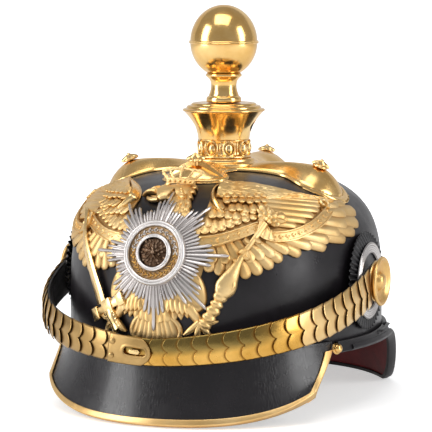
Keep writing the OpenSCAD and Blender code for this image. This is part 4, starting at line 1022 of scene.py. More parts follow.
for upper_edge, lower_edge in (RIBBON_ONE, RIBBON_TWO):
    band(bm, upper_edge, lower_edge, 0.8, ribbon_height, 48, 30)
    motifs = 7 if upper_edge is RIBBON_ONE[0] else 9
    for i in range(motifs):
        k = mix(0.08, 0.94, i / (motifs - 1))
        here, ahead = (0.5 * (along(upper_edge, q) + along(lower_edge, q)) for q in (k, k + 0.035))
        across = 0.22 * (along(upper_edge, k) - along(lower_edge, k))
        floor_height = ribbon_height(k, 0.5)
        for turn in (1, -1):
            feather(bm, here, ahead + across * turn, 0.62, floor_height, 0.25, low=2.4, cup=0.3, shaft=0.12,
                    grid=(4, 5), pointed=True)
        dot = 0.5 * (along(upper_edge, k - 0.045) + along(lower_edge, k - 0.045))
        feather(bm, dot + (-0.4, 0), dot + (0.4, 0), 0.4, floor_height, 0.0, low=2.4, cup=0.3, grid=(4, 4))
rod(bm, [(104.5, 58), (106.4, 61.2), (104.4, 64.2), (101, 63.6), (100.6, 60.8), (102.8, 60.4)],
    [1.2, 1.3, 1.4, 1.3, 1.1, 0.7], 2.0, 0.6)
band(bm, [(53, 47.8), (56, 46), (58, 42), (59.5, 41.5)], [(50.5, 40.5), (53, 38), (56, 36.5), (60.8, 35.6)],
     0.8, lambda u, v: 3.2 + 0.5 * sin(u * 9 + 1) + (0.35 if abs(v - 0.5) > 0.40 else 0), 24, 16)
both_sides(bm)


# Body: belly, thighs, tail, neck and head
def swelling(bm, centre, reach, base, height, low=0.3, streaks=0, turn=0.0, grid=20):
    """A rounded form with an oval outline."""
    c, s = cos(turn), sin(turn)

    def place(u, v):
        x, y = (u - 0.5) * 2, (v - 0.5) * 2
        k, m = x * sqrt(1 - y * y / 2), y * sqrt(1 - x * x / 2)
        z = base + height * sqrt(max(0, 1 - k * k - m * m))
        if streaks:
            z += 0.16 * sin(k * streaks + 1.5 * sin(m * 4)) * (1 - k * k)
        px, py = k * reach[0], m * reach[1]
        return (centre[0] + px * c - py * s, centre[1] + px * s + py * c, z)
    raised(bm, grid, grid, place, low)


THIGH_ROWS = [(6, (5.5, 2.3, 21, -0.6), (6.6, 2.5, 9, -0.9), (1.4, 2.9, 0.9), 8),
              (6, (6, 2.2, 13, -1), (7.4, 2.4, 0.5, -0.3), (1.35, 2.4, 1.1), 8),
              (5, (3, 3.2, 4, -0.5), (4.2, 3.1, -5.5, 0.8), (1.7, 1.0, 0.8), 7)]
swelling(bm, (0, 26), (24, 24), 0.8, 1.0)
for side in (1, -1):
    swelling(bm, (17.6 * side, 11), (7.6, 11.5), 0.8, 3.3, streaks=11, turn=0.36 * side, grid=28)
    for count, start, end, shape, rows in THIGH_ROWS:
        for i in range(count):
            root, tip = ((side * (x + dx * i), y + dy * i) for x, dx, y, dy in (start, end))
            feather(bm, root, tip, *shape, cup=0.6, grid=(6, rows), pointed=True)
for i in range(9):
    k = (i - 4) / 4
    feather(bm, (k * 3.5, 9), (k * 11.2, -14.6 + 1.8 * k * k), 1.9, 0.9, 0.5 + 0.6 * (i % 2), cup=1.1,
            shaft=0.3)
for i in range(5):
    k = (i - 2) / 2
    feather(bm, (k * 4, 8), (k * 7, -5 + k * k), 1.7, 1.8, 0.7, cup=0.7, shaft=0.2, grid=(6, 8))
for curl in ([(8, -2), (11.5, -5), (13, -9), (11.6, -12.6), (9.6, -12.2)],
             [(-8, -2), (-11, -5), (-12.4, -9), (-11, -12.4), (-9, -12)]):
    rod(bm, curl, [0.9, 1.2, 1.2, 1.0, 0.6], 0.6, 0.5)
THROAT = [(2, 40), (5.4, 46.1), (4.6, 50.3), (1.5, 55.9), (-2, 60), (-2, 66)]
NAPE = [(13.5, 40), (12.4, 47.3), (12.1, 50.7), (11.6, 55.4), (10.3, 61.6), (10.2, 66)]
band(bm, THROAT, NAPE, 0.3, lambda u, v: 0.9 + 2.1 * sqrt(max(0.02, 1 - (2 * v - 1) ** 2)), 24, 14)
for row in range(8):
    for i in range(4):
        k = 1 - row / 8
        left, right = along(THROAT, k * 0.86), along(NAPE, k * 0.86)
        root = mix(left, right, 0.12 + 0.25 * i + 0.06 * (row % 2))
        high = 2.0 + 0.5 * (1 - abs(i - 1.5) / 1.5)
        feather(bm, root + (0, 3.2), root + (i - 1.2, -2.6), 1.55, high, 1.2, cup=0.5, pointed=True,
                grid=(6, 7))
for i, tip in enumerate([(12.6, 67.6), (13.0, 63.4), (12.8, 59.0), (13.3, 54.6), (13.6, 50.2)]):
    feather(bm, (7.4, tip[1] + 4.4), tip, 1.9, 2.0, 0.9, cup=0.7, pointed=True, grid=(6, 8))
CROWN_LINE = [(-21.8, 60.0), (-22.0, 62.6), (-20.6, 65.0), (-17.2, 66.8), (-12.2, 68.6), (-6.5, 71.6),
              (0, 73.2), (6, 73.2), (10.6, 71.0)]
JAW_LINE = [(-21.4, 59.8), (-20.4, 61.6), (-18.4, 62.5), (-15.4, 62.4), (-12.0, 61.4), (-8.8, 57.2),
            (-3, 58.0), (4, 59), (11, 60.6)]


def head_height(u, v):
    round_off = sqrt(max(0.0, 1 - (2 * v - 1) ** 2))
    back = 1 if u < 0.75 else sqrt(max(0.05, 1 - ((u - 0.75) / 0.25) ** 2))
    full = mix(1.4, 3.9, clamp(u * 2.2) ** 0.8) * back
    nostril = 0.9 * exp(-(((u - 0.36) / 0.03) ** 2 + ((v - 0.6) / 0.12) ** 2))
    brow = 0.9 * exp(-((v - 0.8 + 0.2 * (u - 0.45)) / 0.07) ** 2)
    brow *= clamp((u - 0.3) * 8) * clamp((0.66 - u) * 8)
    socket = 1.0 * exp(-(((u - 0.47) / 0.045) ** 2 + ((v - 0.64) / 0.1) ** 2))
    seam = 0.9 * exp(-((u - 0.47 - 0.06 * v) / 0.014) ** 2)
    return 0.8 + full * round_off - nostril - socket + brow - seam


band(bm, CROWN_LINE, JAW_LINE, 0.3, head_height, 90, 36)
rod(bm, [(-8.5, 58.2), (-12.4, 57.8), (-15.6, 58.4), (-18.0, 59.8)], [1.9, 1.6, 1.2, 0.4], 0.8, 0.5)
rod(bm, [(-9.5, 60.2), (-13, 60.4), (-16.4, 61.0)], [0.9, 0.9, 0.4], 0.6, 0.2, sides=8)
swelling(bm, (-6.6, 66.6), (1.15, 1.0), 3.4, 0.9, low=2.5, grid=8)
for i in range(9):
    a = i / 8
    root = (mix(-1.5, 3.5, a), mix(70, 62, a))
    feather(bm, root, (root[0] + 5.2, root[1] - 3.4 + 1.5 * (i % 2)), 1.4, 3.6, 0.2, low=1.5, cup=0.6,
            shaft=0.25, pointed=True, grid=(6, 8))

# Legs and claws
for side in (1, -1):
    rod(bm, [(17 * side, 3), (20 * side, -1), (22.5 * side, -4)], [3.0, 2.5, 2.2], 0.6, 0.4)
    for dx, dy in ((-4.5, -3.2), (-1.0, -4.8), (3.2, -3.8), (5.2, 0.6)):
        knuckle = (22.5 * side + dx * side, -4.5 + dy)
        nail = (22.5 * side + dx * 1.7 * side, -4.5 + dy * 1.7)
        rod(bm, [(22.5 * side, -3.6), knuckle, nail], [1.5, 1.5, 0.3], 2.2, 1.2, sides=8)
UNDER_STAR = 2.3
for v in bm.verts:
    x, y = v.co.x / STAR_SCALE, (v.co.y - STAR_W) / STAR_SCALE
    if v.co.z > UNDER_STAR and hypot(x, y) < star_edge(atan2(x, y)) + 0.6:
        v.co.z = UNDER_STAR
cast_on_skull(bm, 0.4, 3.7)
piece("eagle_relief", bm, GILT_MATTE, ["eagle_plate"], smooth=60)

# Smooth rolls at the inner shoulders of the wings
bm = bmesh.new()
ROLL_EDGE = [(33.4, 50.6), (29.6, 54.8), (27.0, 58.6), (26.0, 63), (26.4, 67.2), (29.2, 71.8), (34, 75.6),
             (40, 78)]
ROLL_FOOT = [(30.6, 49.8), (26.6, 53.4), (23.9, 57.4), (22.6, 62.4), (22.7, 67.4), (25, 72.9), (30.6, 77.6),
             (38, 80.2)]


def roll_height(u, v):
    """A quarter round from the wing's border, v = 1, down to the leather, v = 0."""
    tall = mix(2.2, 5.2, sin(pi * clamp(u * 1.1)) ** 0.7)
    lip = 0.35 * exp(-((v - 0.93) / 0.05) ** 2)
    return 0.6 + tall * sin(v * pi / 2) ** 0.75 - lip


band(bm, ROLL_EDGE, ROLL_FOOT, 0.6, roll_height, 60, 18)
both_sides(bm)
cast_on_skull(bm, -3, 3.5)
piece("wing_shoulder_rolls", bm, GILT_BRIGHT_EDGE, smooth=60)

# Sabre
bm = bmesh.new()
BLADE = [(-66.5, 50.2), (-63, 47.6), (-58, 42.9), (-53.8, 36.8), (-49, 30.1), (-43, 22.4), (-38, 14.8),
         (-33.8, 7.6), (-31.2, 1.8)]
BLADE_HALF = [0.4, 1.2, 1.8, 2.2, 2.5, 2.8, 3.0, 3.2, 3.3]


def blade_surface(u, v):
    here, side = course(BLADE, u)
    a = (v - 0.5) * 2
    p = here + side * value_along(BLADE_HALF, u) * a
    ridge = 1.5 * (1 - abs(a - 0.2) / 1.2)
    fuller = 0.35 * exp(-((a - 0.1) / 0.18) ** 2) * clamp((u - 0.1) * 4)
    return (p[0], p[1], 2.9 + ridge - fuller)


raised(bm, 60, 12, blade_surface, 2.4)


def block(bm, centre, size, turn, low, high, edge=0.35):
    """A chamfered block in the drawn plane."""
    made = bmesh.ops.create_cube(bm, size=1.0)["verts"]
    c, s = cos(turn), sin(turn)
    for v in made:
        x, y = v.co.x * size[0], v.co.y * size[1]
        v.co = (centre[0] + x * c - y * s, centre[1] + x * s + y * c, mix(low, high, v.co.z + 0.5))
    edges = list({e for v in made for e in v.link_edges})
    bmesh.ops.bevel(bm, geom=edges, offset=edge, offset_type="OFFSET", segments=2, profile=0.5,
                    affect="EDGES", material=-1)


GUARD_TURN = atan2(10.4, 20)
for k, size in ((0.0, (4.4, 6.4)), (0.5, (6.4, 7.4)), (1.0, (4.4, 6.0))):
    block(bm, (mix(-34.2, -18.0, k), mix(-3.4, 5.4, k)), size, GUARD_TURN, 2.6, 5.2)
block(bm, (-26, 1.0), (17, 3.6), GUARD_TURN, 2.6, 4.8)
rod(bm, [(-25.4, -0.5), (-23.4, -3.4), (-21.4, -6.6), (-19.8, -9.2)], [2.6, 3.1, 2.8, 3.3], 2.4, 0.4,
    columns=36)
for i in range(5):
    k = i / 4
    block(bm, (mix(-24.8, -20.6, k), mix(-1.6, -8, k)), (6.2, 0.9), GUARD_TURN - 0.2, 3.2, 5.2, 0.25)
cast_on_skull(bm, 1.6, 4.4)
piece("eagle_sabre_blade", bm, GILT_BRIGHT_EDGE, ["eagle_sabre"], smooth=30)

# Sceptre: a beaded foot, a pear-shaped knop, a slender stem and a leafy head
bm = bmesh.new()
STEM_LINE = [(23.8, -6.4), (26.8, -2.0), (29.7, 3.2), (31.8, 7.4), (34.6, 12.6), (37.2, 18), (40.7, 24.6),
             (44.4, 30.6), (48.6, 36.2), (52.4, 41), (55.6, 45.4)]
STEM_RADII = [2.8, 3.0, 2.9, 2.8, 5.2, 4.0, 2.0, 1.4, 1.5, 1.6, 1.8]
BEADED = 0.34


def sceptre_radius(u):
    beads = 1.1 * abs(sin(u / BEADED * pi * 5)) - 0.5 if u < BEADED else 0
    return value_along(STEM_RADII, u) + beads


def sceptre_surface(u, v):
    here, side = course(STEM_LINE, u)
    a = pi * v
    p = here + side * sceptre_radius(u) * cos(a)
    return (p[0], p[1], 2.8 + min(3.4, sceptre_radius(u) * 0.85) * sin(a) ** 0.8)


raised(bm, 150, 12, sceptre_surface, 2.4)
for root, tip, half in [[(37.5, 18), (33.6, 10.8), 1.5], [(38.5, 20), (38.2, 11.8), 1.4],
                        [(36.5, 17.5), (31.6, 12.4), 1.2]]:
    feather(bm, root, tip, half, 4.4, 1.4, low=2.6, cup=0.5, grid=(6, 7), pointed=True)
for root, tip, half in [[(45, 31), (40.6, 29.4), 1.4], [(45, 31), (46.6, 26.4), 1.4],
                        [(47, 34.6), (43.6, 36.4), 1.3], [(49, 37), (53, 34.6), 1.4],
                        [(41, 25), (37.8, 26.4), 1.2], [(43, 28), (46.8, 26.4), 1.2]]:
    feather(bm, root, tip, half, 3.4, 1.0, low=2.6, cup=0.7, grid=(6, 7), pointed=True)
LEAF_HEAD = (58.6, 49)
for i in range(11):
    a = radians(-70 + 27 * i)
    reach = 8.6 + 1.8 * cos(3 * a)
    tip = (LEAF_HEAD[0] + reach * cos(a), LEAF_HEAD[1] + reach * 0.86 * sin(a))
    feather(bm, LEAF_HEAD, tip, 2.2, 3.0, 0.6, low=2.4, cup=0.9, shaft=0.35, grid=(6, 8), pointed=i % 2 == 0)
for i in range(6):
    a = radians(60 * i + 20)
    tip = (LEAF_HEAD[0] + 4.6 * cos(a), LEAF_HEAD[1] + 4.2 * sin(a))
    feather(bm, LEAF_HEAD, tip, 1.7, 3.8, 0.8, low=2.6, cup=0.8, grid=(6, 6))
swelling(bm, LEAF_HEAD, (1.9, 1.9), 4.4, 1.6, low=3.0, grid=8)
cast_on_skull(bm, 1.8, 5.0)
piece("eagle_sceptre_rod", bm, GILT_MATTE, ["eagle_sceptre"], smooth=50)

# Crown over the eagle's head, drawn upright and leant back on its foot
crown_foot = Vector((0, -70.5, 92.6))
crown_place = shifted(*crown_foot) @ about(90 - 34, "X")
CROWN_HALF = 8.2
bm = bmesh.new()


def crown_dome(x):
    return 1.6 + 2.3 * sqrt(max(0.0, 1 - (x / 13.2) ** 2))


def crown_rim(u, v):
    x = mix(-CROWN_HALF, CROWN_HALF, u)
    return (x * (1 + 0.1 * v), mix(-0.4, 3.2, v), crown_dome(x) + (0.4 if abs(v - 0.5) > 0.36 else 0))


lattice(bm, 40, 10, crown_rim)


def crown_arch(foot, belly, top, radius):
    line = [np.array(p, float) for p in (foot, belly, top)]

    def place(u, v):
        here, side = course(line, u, 0.02)
        a = tau * v
        r = radius * (1 + 0.22 * cos(u * 40))
        return (*(here[:2] + side * r * cos(a)), here[2] + r * 0.7 * sin(a))
    lattice(bm, 24, 8, place)


for end in (1, -1):
    crown_arch((7.6 * end, 3, 2.4), (12.0 * end, 8.2, 2.6), (0.8 * end, 9.6, 3.4), 0.95)
    crown_arch((4.2 * end, 3, 3.4), (6.8 * end, 8.0, 4.2), (0.5 * end, 9.8, 3.8), 0.8)
crown_arch((0, 3, 3.8), (0, 6.6, 4.8), (0, 9.8, 4.0), 0.85)
for x in (-6.4, -3.2, 0, 3.2, 6.4):
    ball(bm, shifted(x, 1.4, crown_dome(x) + 0.5), 0.95, 10, 8, (1, 0.9, 0.6))
ball(bm, shifted(0, 10.4, 3.2), 1.5, 14, 10)
for width, height in ((0.9, 2.08), (2.4, 0.72)):
    bar = shifted(0, 11.6, 3.2) @ Matrix.Diagonal((width, height, 1.0, 1))
    bmesh.ops.create_cube(bm, size=1.0, matrix=bar)
for end in (1, -1):
    lattice(bm, 12, 6, lambda u, v: (end * (mix(6.0, 10.8, u) + 1.0 * sin(u * 5)),
                                     mix(2.6, -0.2, v) - 2.6 * u ** 1.4, 2.2 + 0.5 * sin(u * 6 + v * 3)))
close_up(bm)
move(bm, crown_place)
for v in bm.verts:
    v.co.z = max(v.co.z, roof_point(v.co.x, v.co.y, 0.4).z)
piece("eagle_crown_arches", bm, GILT_MATTE, ["eagle_crown"], wall=0.4, smooth=50)

# Star: pressed rays, rings, field with leaves, and medallion
STAR_TOP = 2.75


def star_sheet(u, v):
    a = tau * u
    return (*in_star(mix(14, star_edge(a) * 0.8 - 1.5, v), a), STAR_TOP)


bm = skin(160, 3, star_sheet)
for g in range(8):
    for k in range(-4, 5):
        a = EIGHTH * (g + k / 9)
        over, half, cup = (-2.6, 0.75, 0.6) if k % 2 else (0.8 if k else 0, 1.05, 1.0)
        feather(bm, in_star(15, a), in_star(star_edge(a) + over, a), half * STAR_SCALE, STAR_TOP,
                0.25 - 0.06 * abs(k), low=2.5, cup=cup, shaft=0.0, narrow=0.75, pointed=True, grid=(6, 12))
cast_on_skull(bm, 2.2, 4.1)
piece("star_ray_plate", bm, SILVER, ["star_rays"], smooth=50)


def star_turned(name, profile, material, node):
    bm = lathe(profile, 0.4, 96, star_place)
    close_up(bm)
    piece(name, bm, material, [node], smooth=50)


star_turned("star_outer_ring", [(15.1, 1.4), (18.5, 1.4), (18.6, 4.6), (18.0, 5.8), (17.2, 5.9), (16.9, 5.2),
                                (16.6, 5.9), (16.0, 6.3), (15.4, 5.9), (15.1, 5.2), (15.1, 1.4)],
            SILVER_RING, "star_rim")
star_turned("star_ring_field", [(10.66, 2.6), (15.04, 2.6), (15.04, 4.6), (14.6, 4.75), (14.2, 4.4),
                                (11.4, 4.4), (11.0, 4.75), (10.66, 4.6), (10.66, 2.6)], BRONZE_FIELD,
            "star_field")
star_turned("star_inner_rings", [(8.36, 3.7), (10.6, 3.7), (10.6, 6.2), (10.2, 6.8), (9.7, 6.6), (9.5, 7.2),
                                 (9.0, 7.4), (8.5, 7.1), (8.36, 6.6), (8.36, 3.7)], SILVER_RING,
            "star_inner_ring")

SPRIG_R = 12.85
for name, first, last, count, finish in (("star_gilt_sprigs", 92, 268, 13, BRASS),
                                         ("star_silver_sprigs", -84, 84, 12, SILVER_RING)):
    bm = bmesh.new()
    for k in range(count):
        a = radians(mix(first, last, k / (count - 1)))
        for r in (11.5, 14.2):
            feather(bm, clock(SPRIG_R, a), clock(r, a + 0.17), 0.62, 4.5, 0.5, low=4.1, cup=0.35, shaft=0.2,
                    grid=(4, 6), pointed=True)
        ball(bm, shifted(*clock(SPRIG_R, a - 0.06), 4.7), 0.5, 8, 6)
    settle(bm)
    move(bm, star_place)
    piece(name, bm, finish, smooth=50)

bm = lathe([(0, 3.7), (8.3, 3.7), (8.3, 5.0), (7.6, 5.4), (6.0, 5.9), (3.5, 6.2), (0, 6.4)], 0.5, 72)
close_up(bm)
rng = random.Random(7)
for ring, count in ((7.0, 17), (5.5, 13), (4.0, 9), (2.4, 6)):
    for k in range(count):
        a = tau * (k + rng.uniform(-0.2, 0.2) + 0.5 * (count == 13)) / count
        tip = ((ring + 0.6) * sin(a + rng.uniform(-0.3, 0.3)),
               (ring + 0.6) * cos(a + rng.uniform(-0.2, 0.2)))
        top = 7.2 - 0.02 * ring ** 2
        feather(bm, clock(ring - 1.6, a), tip, ring * pi / count * 0.72, top - 0.75,
                0.75 + rng.uniform(-0.2, 0.2), low=5.2, cup=0.6, shaft=0.3, grid=(6, 6), pointed=k % 2 == 0)
ball(bm, shifted(0, 0, 7.0), 1.2, 16, 10)
# Painted shade: points lying deeper below the medallion's top are coloured darker.
layer = bm.verts.layers.float.new("recess_shade")
for v in bm.verts:
    top = 7.7 - 0.02 * (v.co.x ** 2 + v.co.y ** 2)
    v[layer] = clamp((top - v.co.z) / 1.5) ** 1.3
move(bm, star_place)
settle(bm)
piece("star_flower_medallion", bm, BRONZE, ["star_medallion"], smooth=50)

# Cockades, their rings and the rosettes, turned about the bolts
FLUTES, COCKADE_R = 48, 28.9
COCKADE_X, RING_X, ROSETTE_X = 91.3, 92.96, 97.36


def on_side(side, x):
    return shifted(side * x, BOLT_Y, BOLT_Z) @ about(90 * side, "Y")


def pleats(u, v):
    a = tau * u
    wave = cos(FLUTES * a)
    sharp = copysign(abs(wave) ** 0.7, wave)
    r = mix(2.6, COCKADE_R - 1.1 * (1 - sharp) / 2 * (1 if v > 0.999 else 0.6), v)
    z = clamp(0.85 + 0.75 * sharp * clamp((r - 15) / 9), 0.12, 1.6)
    y, level = BOLT_Y + r * sin(a), radius_at((BOLT_Z - r * cos(a)) / SKULL_HEIGHT)
    skull_reach = HALF_WIDTH * level * max(0.0, 1 - (abs(y) / HALF_LENGTH / level) ** CROWN_FULL) ** 0.4
    return (r * cos(a), r * sin(a), z - 0.8 * (HALF_WIDTH - skull_reach) * clamp((r - 20) / 7))


for side, name in ((1, "left"), (-1, "right")):
    bm = skin(FLUTES * 10, 16, pleats)
    settle(bm, (0, 0, 1))
    move(bm, on_side(side, COCKADE_X))
    piece(f"cockade_pleats_{name}", bm, COCKADE_BLACK, [f"cockade_{name}"], wall=0.1,
          smooth=70)

    bm = bmesh.new()
    ring = [(16.1, 0.0), (16.3, 0.45)]
    for i in range(30):
        k = i / 29
        ring.append((mix(16.9, 22.0, k), 0.2 + 0.54 * abs(sin(k * pi * 4)) ** 0.7))
    ring += [(22.4, 0.45), (22.6, 0.0), (16.1, 0.0)]
    turned(bm, ring, 128)
    close_up(bm)
    # Painted shade: the bottoms of the ring's grooves are coloured darker.
    layer = bm.verts.layers.float.new("recess_shade")
    for v in bm.verts:
        v[layer] = clamp((0.6 - v.co.z) / 0.4)
    move(bm, on_side(side, RING_X))
    piece(f"cockade_grooved_ring_{name}", bm, SILVER_RING, [f"cockade_ring_{name}"],
          smooth=60)

    bm = lathe([(0, 0), (10, 0), (13.7, 1.8), (14.4, 2.4), (14.5, 3.1), (14.0, 3.8), (13.0, 3.9),
                (12.1, 3.2), (10.9, 1.9), (9.2, 1.2), (7.2, 0.95), (6.0, 1.0), (5.4, 1.5), (5.0, 2.4),
                (4.5, 3.5), (3.6, 4.4), (2.2, 4.9), (0, 5.0)], 0.6, 96, on_side(side, ROSETTE_X), 4)
    close_up(bm)
    piece(f"rosette_dish_{name}", bm, ROSETTE_GILT, [f"rosette_{name}"], smooth=50)

# Chin strap: its middle line is an oval in plan that climbs to the bolts
STRAP_W, STRAP_FWD, OVAL, HALF_LINE = 96.2, 115.6, 2.65, 167.31
turns = np.radians(np.linspace(0, 90, 181))
oval = np.stack([STRAP_W * np.sin(turns) ** (2 / OVAL), -STRAP_FWD * np.cos(turns) ** (2 / OVAL)], 1)
lengths = np.concatenate([[0], np.cumsum(np.hypot(*(oval[1:] - oval[:-1]).T))])


def line_point(s):
    a = abs(s)
    x, y = np.interp(a, lengths, oval[:, 0]), np.interp(a, lengths, oval[:, 1])
    return Vector((copysign(x, s), y, mix(3.5, BOLT_Z, min(1, a / HALF_LINE) ** 1.45)))


def strap_frame(s):
    way = (line_point(s + 0.6) - line_point(s - 0.6)).normalized()
    outward = Vector((way.y, -way.x, 0)).normalized()
    return outward, outward.cross(way).normalized()


def strap_half(s):
    return mix(15.6, 23.0, min(1, abs(s) / HALF_LINE)) / 2


def strap_point(s, v, out=0.0):
    outward, up = strap_frame(s)
    arch = 1.6 * mix(0.6, 1, min(1, abs(s) / HALF_LINE)) * clamp((HALF_LINE - 8 - abs(s)) / 14)
    return line_point(s) + up * (v * strap_half(s)) + outward * (out + arch * (1 - v * v))


PITCH, LAP, STRAP_OVER = 8.6, 2.8, 4.6
JOINTS = [157.81, 123.41, 89.01, 54.61]


def mirror(bm):
    """Turns the wearer's left half, as drawn, into the right half."""
    move(bm, Matrix.Diagonal((-1, 1, 1, 1)))
    turn_over(bm)


def one_scale(bm, s_high, length, flip):
    lift = 1.5 if flip else mix(0.95, 1.5, clamp((s_high - 60) / 50))
    shadow_and_reflection_marks = []

    def place(u, v):
        a = (v - 0.5) * 2
        edge = LAP * (1 - abs(sin(pi * a)) ** 0.7)
        k = 1 - (1 - u) ** 1.6
        s = mix(s_high, s_high - length + edge, k)
        fall = (s_high - s) / length
        lobe = 0.3 * sin(pi * abs(a)) * fall ** 2
        roll = 0.35 * clamp((u - 0.86) / 0.14) ** 2
        side = 0.5 * clamp((abs(a) - 0.85) / 0.15) ** 2
        beyond = s_high - s - LAP * abs(sin(pi * a)) ** 0.7
        # Painted shadow just beyond the free edge of the scale above, and a painted dark reflection on the
        # upper half of the front scales.
        shadow_and_reflection_marks.append((0.9 * clamp(1.1 - beyond / 1.4), clamp(a * 2.2 + 0.7) * clamp((84 - s) / 26)))
        return strap_point(s, a, 0.3 + 0.5 + lift * fall + lobe - roll - side)
    layers = bm.verts.layers.float
    for v, shadow_and_reflection in zip(lattice(bm, 18, 24, place), shadow_and_reflection_marks):
        v[layers["recess_shade"]], v[layers["upper"]] = shadow_and_reflection


for flip, side in ((False, "left"), (True, "right")):
    end_s = 19.0 if flip else -17.0
    for k in range(1, 5):
        body = f"{side}_scales_{k}"
        bm = bmesh.new()
        # Layers for the painted shadow and the painted top reflection.
        for name in ("recess_shade", "upper"):
            bm.verts.layers.float.new(name)
        start = JOINTS[k - 1]
        count = 4 if k < 4 else max(1, floor((start - end_s) / PITCH))
        for i in range(count):
            last = i == count - 1 and k == 4
            length = (start - i * PITCH - end_s) if last else PITCH + LAP
            one_scale(bm, start - i * PITCH, length, flip)
        settle_outward(bm)
        if k == 1:
            absorb(bm, lathe([(2.56, 96.3), (11.5, 96.3), (11.5, 96.9), (10.9, 97.06), (2.56, 97.06)], 0.3,
                             48, on_side(1, 0)))
        if flip:
            mirror(bm)
        finish = SCALES_DULL if flip else (SCALES_BRIGHT if k < 3 else SCALES_BURNISHED)
        piece(f"{side}_chin_scales_{k}", bm, finish, [f"scales_{side}_{k}"], body, 0.5, 40)

        high = HALF_LINE + 3 if k == 1 else start - LAP + STRAP_OVER
        low = end_s if k == 4 else JOINTS[k] - LAP + STRAP_OVER + 0.5
        bm = bmesh.new()
        lattice(bm, 30, 8, lambda u, v: strap_point(mix(low, high, u), mix(-0.94, 0.94, v), 0))
        settle_outward(bm)
        if flip:
            mirror(bm)
        piece(f"{side}_chin_strap_{k}", bm, STRAP_LEATHER, [f"strap_{side}_{k}"], body, 1.2,
              bevel=0.25)

# End tab with its oblong slot: an outline and a slot joined by rings of faces
TAB_OUT, SLOT_S, RIVET_S = 2.9, -7.5, -21.5


def tab_outline(k):
    """Round the tab: k from 0 to 1."""
    a = tau * k
    x, y = cos(a), sin(a)
    big = max(abs(x), abs(y))
    x, y = x / big, y / big
    s = mix(-24, 2, (x + 1) / 2)
    if x > 0.99:
        s = 2 - 6 * abs(y) ** 2.4
    elif x > 0:
        s = mix(-11, -4, x)
    return s, y


def slot_outline(k, grow):
    """Round the slot, widened by grow."""
    a = tau * k
    x = cos(a)
    return (SLOT_S + copysign(4.5, x) * min(1, abs(x) * 3) + (2 + grow) * x, (2 + grow) * sin(a) / 7.9)


def tab_surface(u, v):
    """From the outer edge, over a soft border, in to the rolled lip of the slot."""
    outer = Vector(tab_outline(u))
    lip = Vector(slot_outline(u, 1.5))
    hole = Vector(slot_outline(u, 0.0))
    if v < 0.75:
        k = v / 0.75
        flat = outer.lerp(lip, k)
        return (flat.x, flat.y, 0.35 + 0.55 * clamp(k * 5) ** 0.5)
    k = (v - 0.75) / 0.25
    flat = lip.lerp(hole, k)
    return (flat.x, flat.y, 0.9 + 0.45 * sin(pi * clamp(k * 1.1)) - 0.2 * k)


bm = skin(96, 16, tab_surface)
for v in bm.verts:
    v.co = strap_point(v.co.x, v.co.y, TAB_OUT + v.co.z)
settle(bm, (0, -1, 0))
piece("chin_strap_tab", bm, SCALES_DULL, ["end_tab"], "right_scales_4", 0.55, 50)


def strap_place(s, v):
    outward, up = strap_frame(s)
    side = up.cross(outward)
    turn = Matrix((side, up, outward)).transposed().to_4x4()
    return shifted(*strap_point(s, v)) @ turn


bm = bmesh.new()
made = bmesh.ops.create_circle(bm, cap_ends=True, segments=32, radius=1.3)["verts"]
for v in made:
    v.co.x += copysign(2, v.co.x) if abs(v.co.x) > 0.01 else 0
lifted_face = bmesh.ops.extrude_face_region(bm, geom=bm.faces[:])["geom"]
top = [g for g in lifted_face if isinstance(g, bmesh.types.BMVert)]
bmesh.ops.translate(bm, verts=top, vec=(0, 0, 6.0))
top_edges = [e for e in bm.edges if all(v in top for v in e.verts)]
bmesh.ops.bevel(bm, geom=top_edges, offset=0.55, offset_type="OFFSET", segments=4, profile=0.5,
                affect="EDGES", material=-1)
move(bm, strap_place(SLOT_S, 0) @ shifted(0, 0, -1.2))
settle(bm)
piece("tab_turning_stud", bm, GILT_BRIGHT_EDGE, ["end_stud"], "left_scales_4")

bm = bmesh.new()
for v in (-0.5, 0.5):
    absorb(bm, lathe([(0, -1.2), (1.0, -1.2), (1.0, 4.0), (1.9, 4.0), (1.75, 4.45), (1.0, 4.85), (0, 4.95)],
                     0.3, 24, strap_place(RIVET_S, v)))
close_up(bm)
piece("tab_rivet_pair", bm, SCALES_DULL, ["tab_rivets"], "right_scales_4")


# Head fitting: sweatband and gathered silk liner
def band_surface(u, v):
    lean = 3.3 + 2.3 * min(1, v * 2)
    roll = 0.8 * clamp((0.06 - v) / 0.06)
    return wall_point(360 * u, mix(1, 27, v), -lean - roll + 0.25 * sin(u * tau * 9) * v)


bm = skin(144, 18, band_surface)
piece("leather_sweatband", bm, BAND_LEATHER, ["sweatband"], wall=1.3)

PLEATS, LINER_IN = 28, 9.8


def liner_surface(u, v):
    a = tau * u
    r = mix(0.985, 0.12, v ** 1.25)
    t = mix(0.25, height_at(min(0.97, r)), clamp(v * 2.2))
    fold = 0.9 * (sin(PLEATS * a) + 0.3 * sin(PLEATS * 2 * a + 1)) * mix(0.25, 1.0, v)
    shrink = LINER_IN + fold
    return ((HALF_WIDTH - shrink) * r * sin(a), -(HALF_LENGTH - shrink) * r * cos(a),
            (SKULL_HEIGHT - LINER_IN - abs(fold) * v) * t)


liner = piece("silk_liner", skin(PLEATS * 8, 36, liner_surface), SILK, ["liner"], smooth=80)

# Nodes that keep their drawn shape
for node, material in (("plate_nuts", STEEL), ("eagle_posts", BRASS), ("rosette_nuts", STEEL),
                       ("rosette_bolts", BRASS), ("finial_screw", BRASS)):
    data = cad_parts[node].data
    data.materials.clear()
    data.materials.append(material)

# Floor, backdrop, light and camera
FLOOR_Z = REST_LEVEL * MM - 0.0002


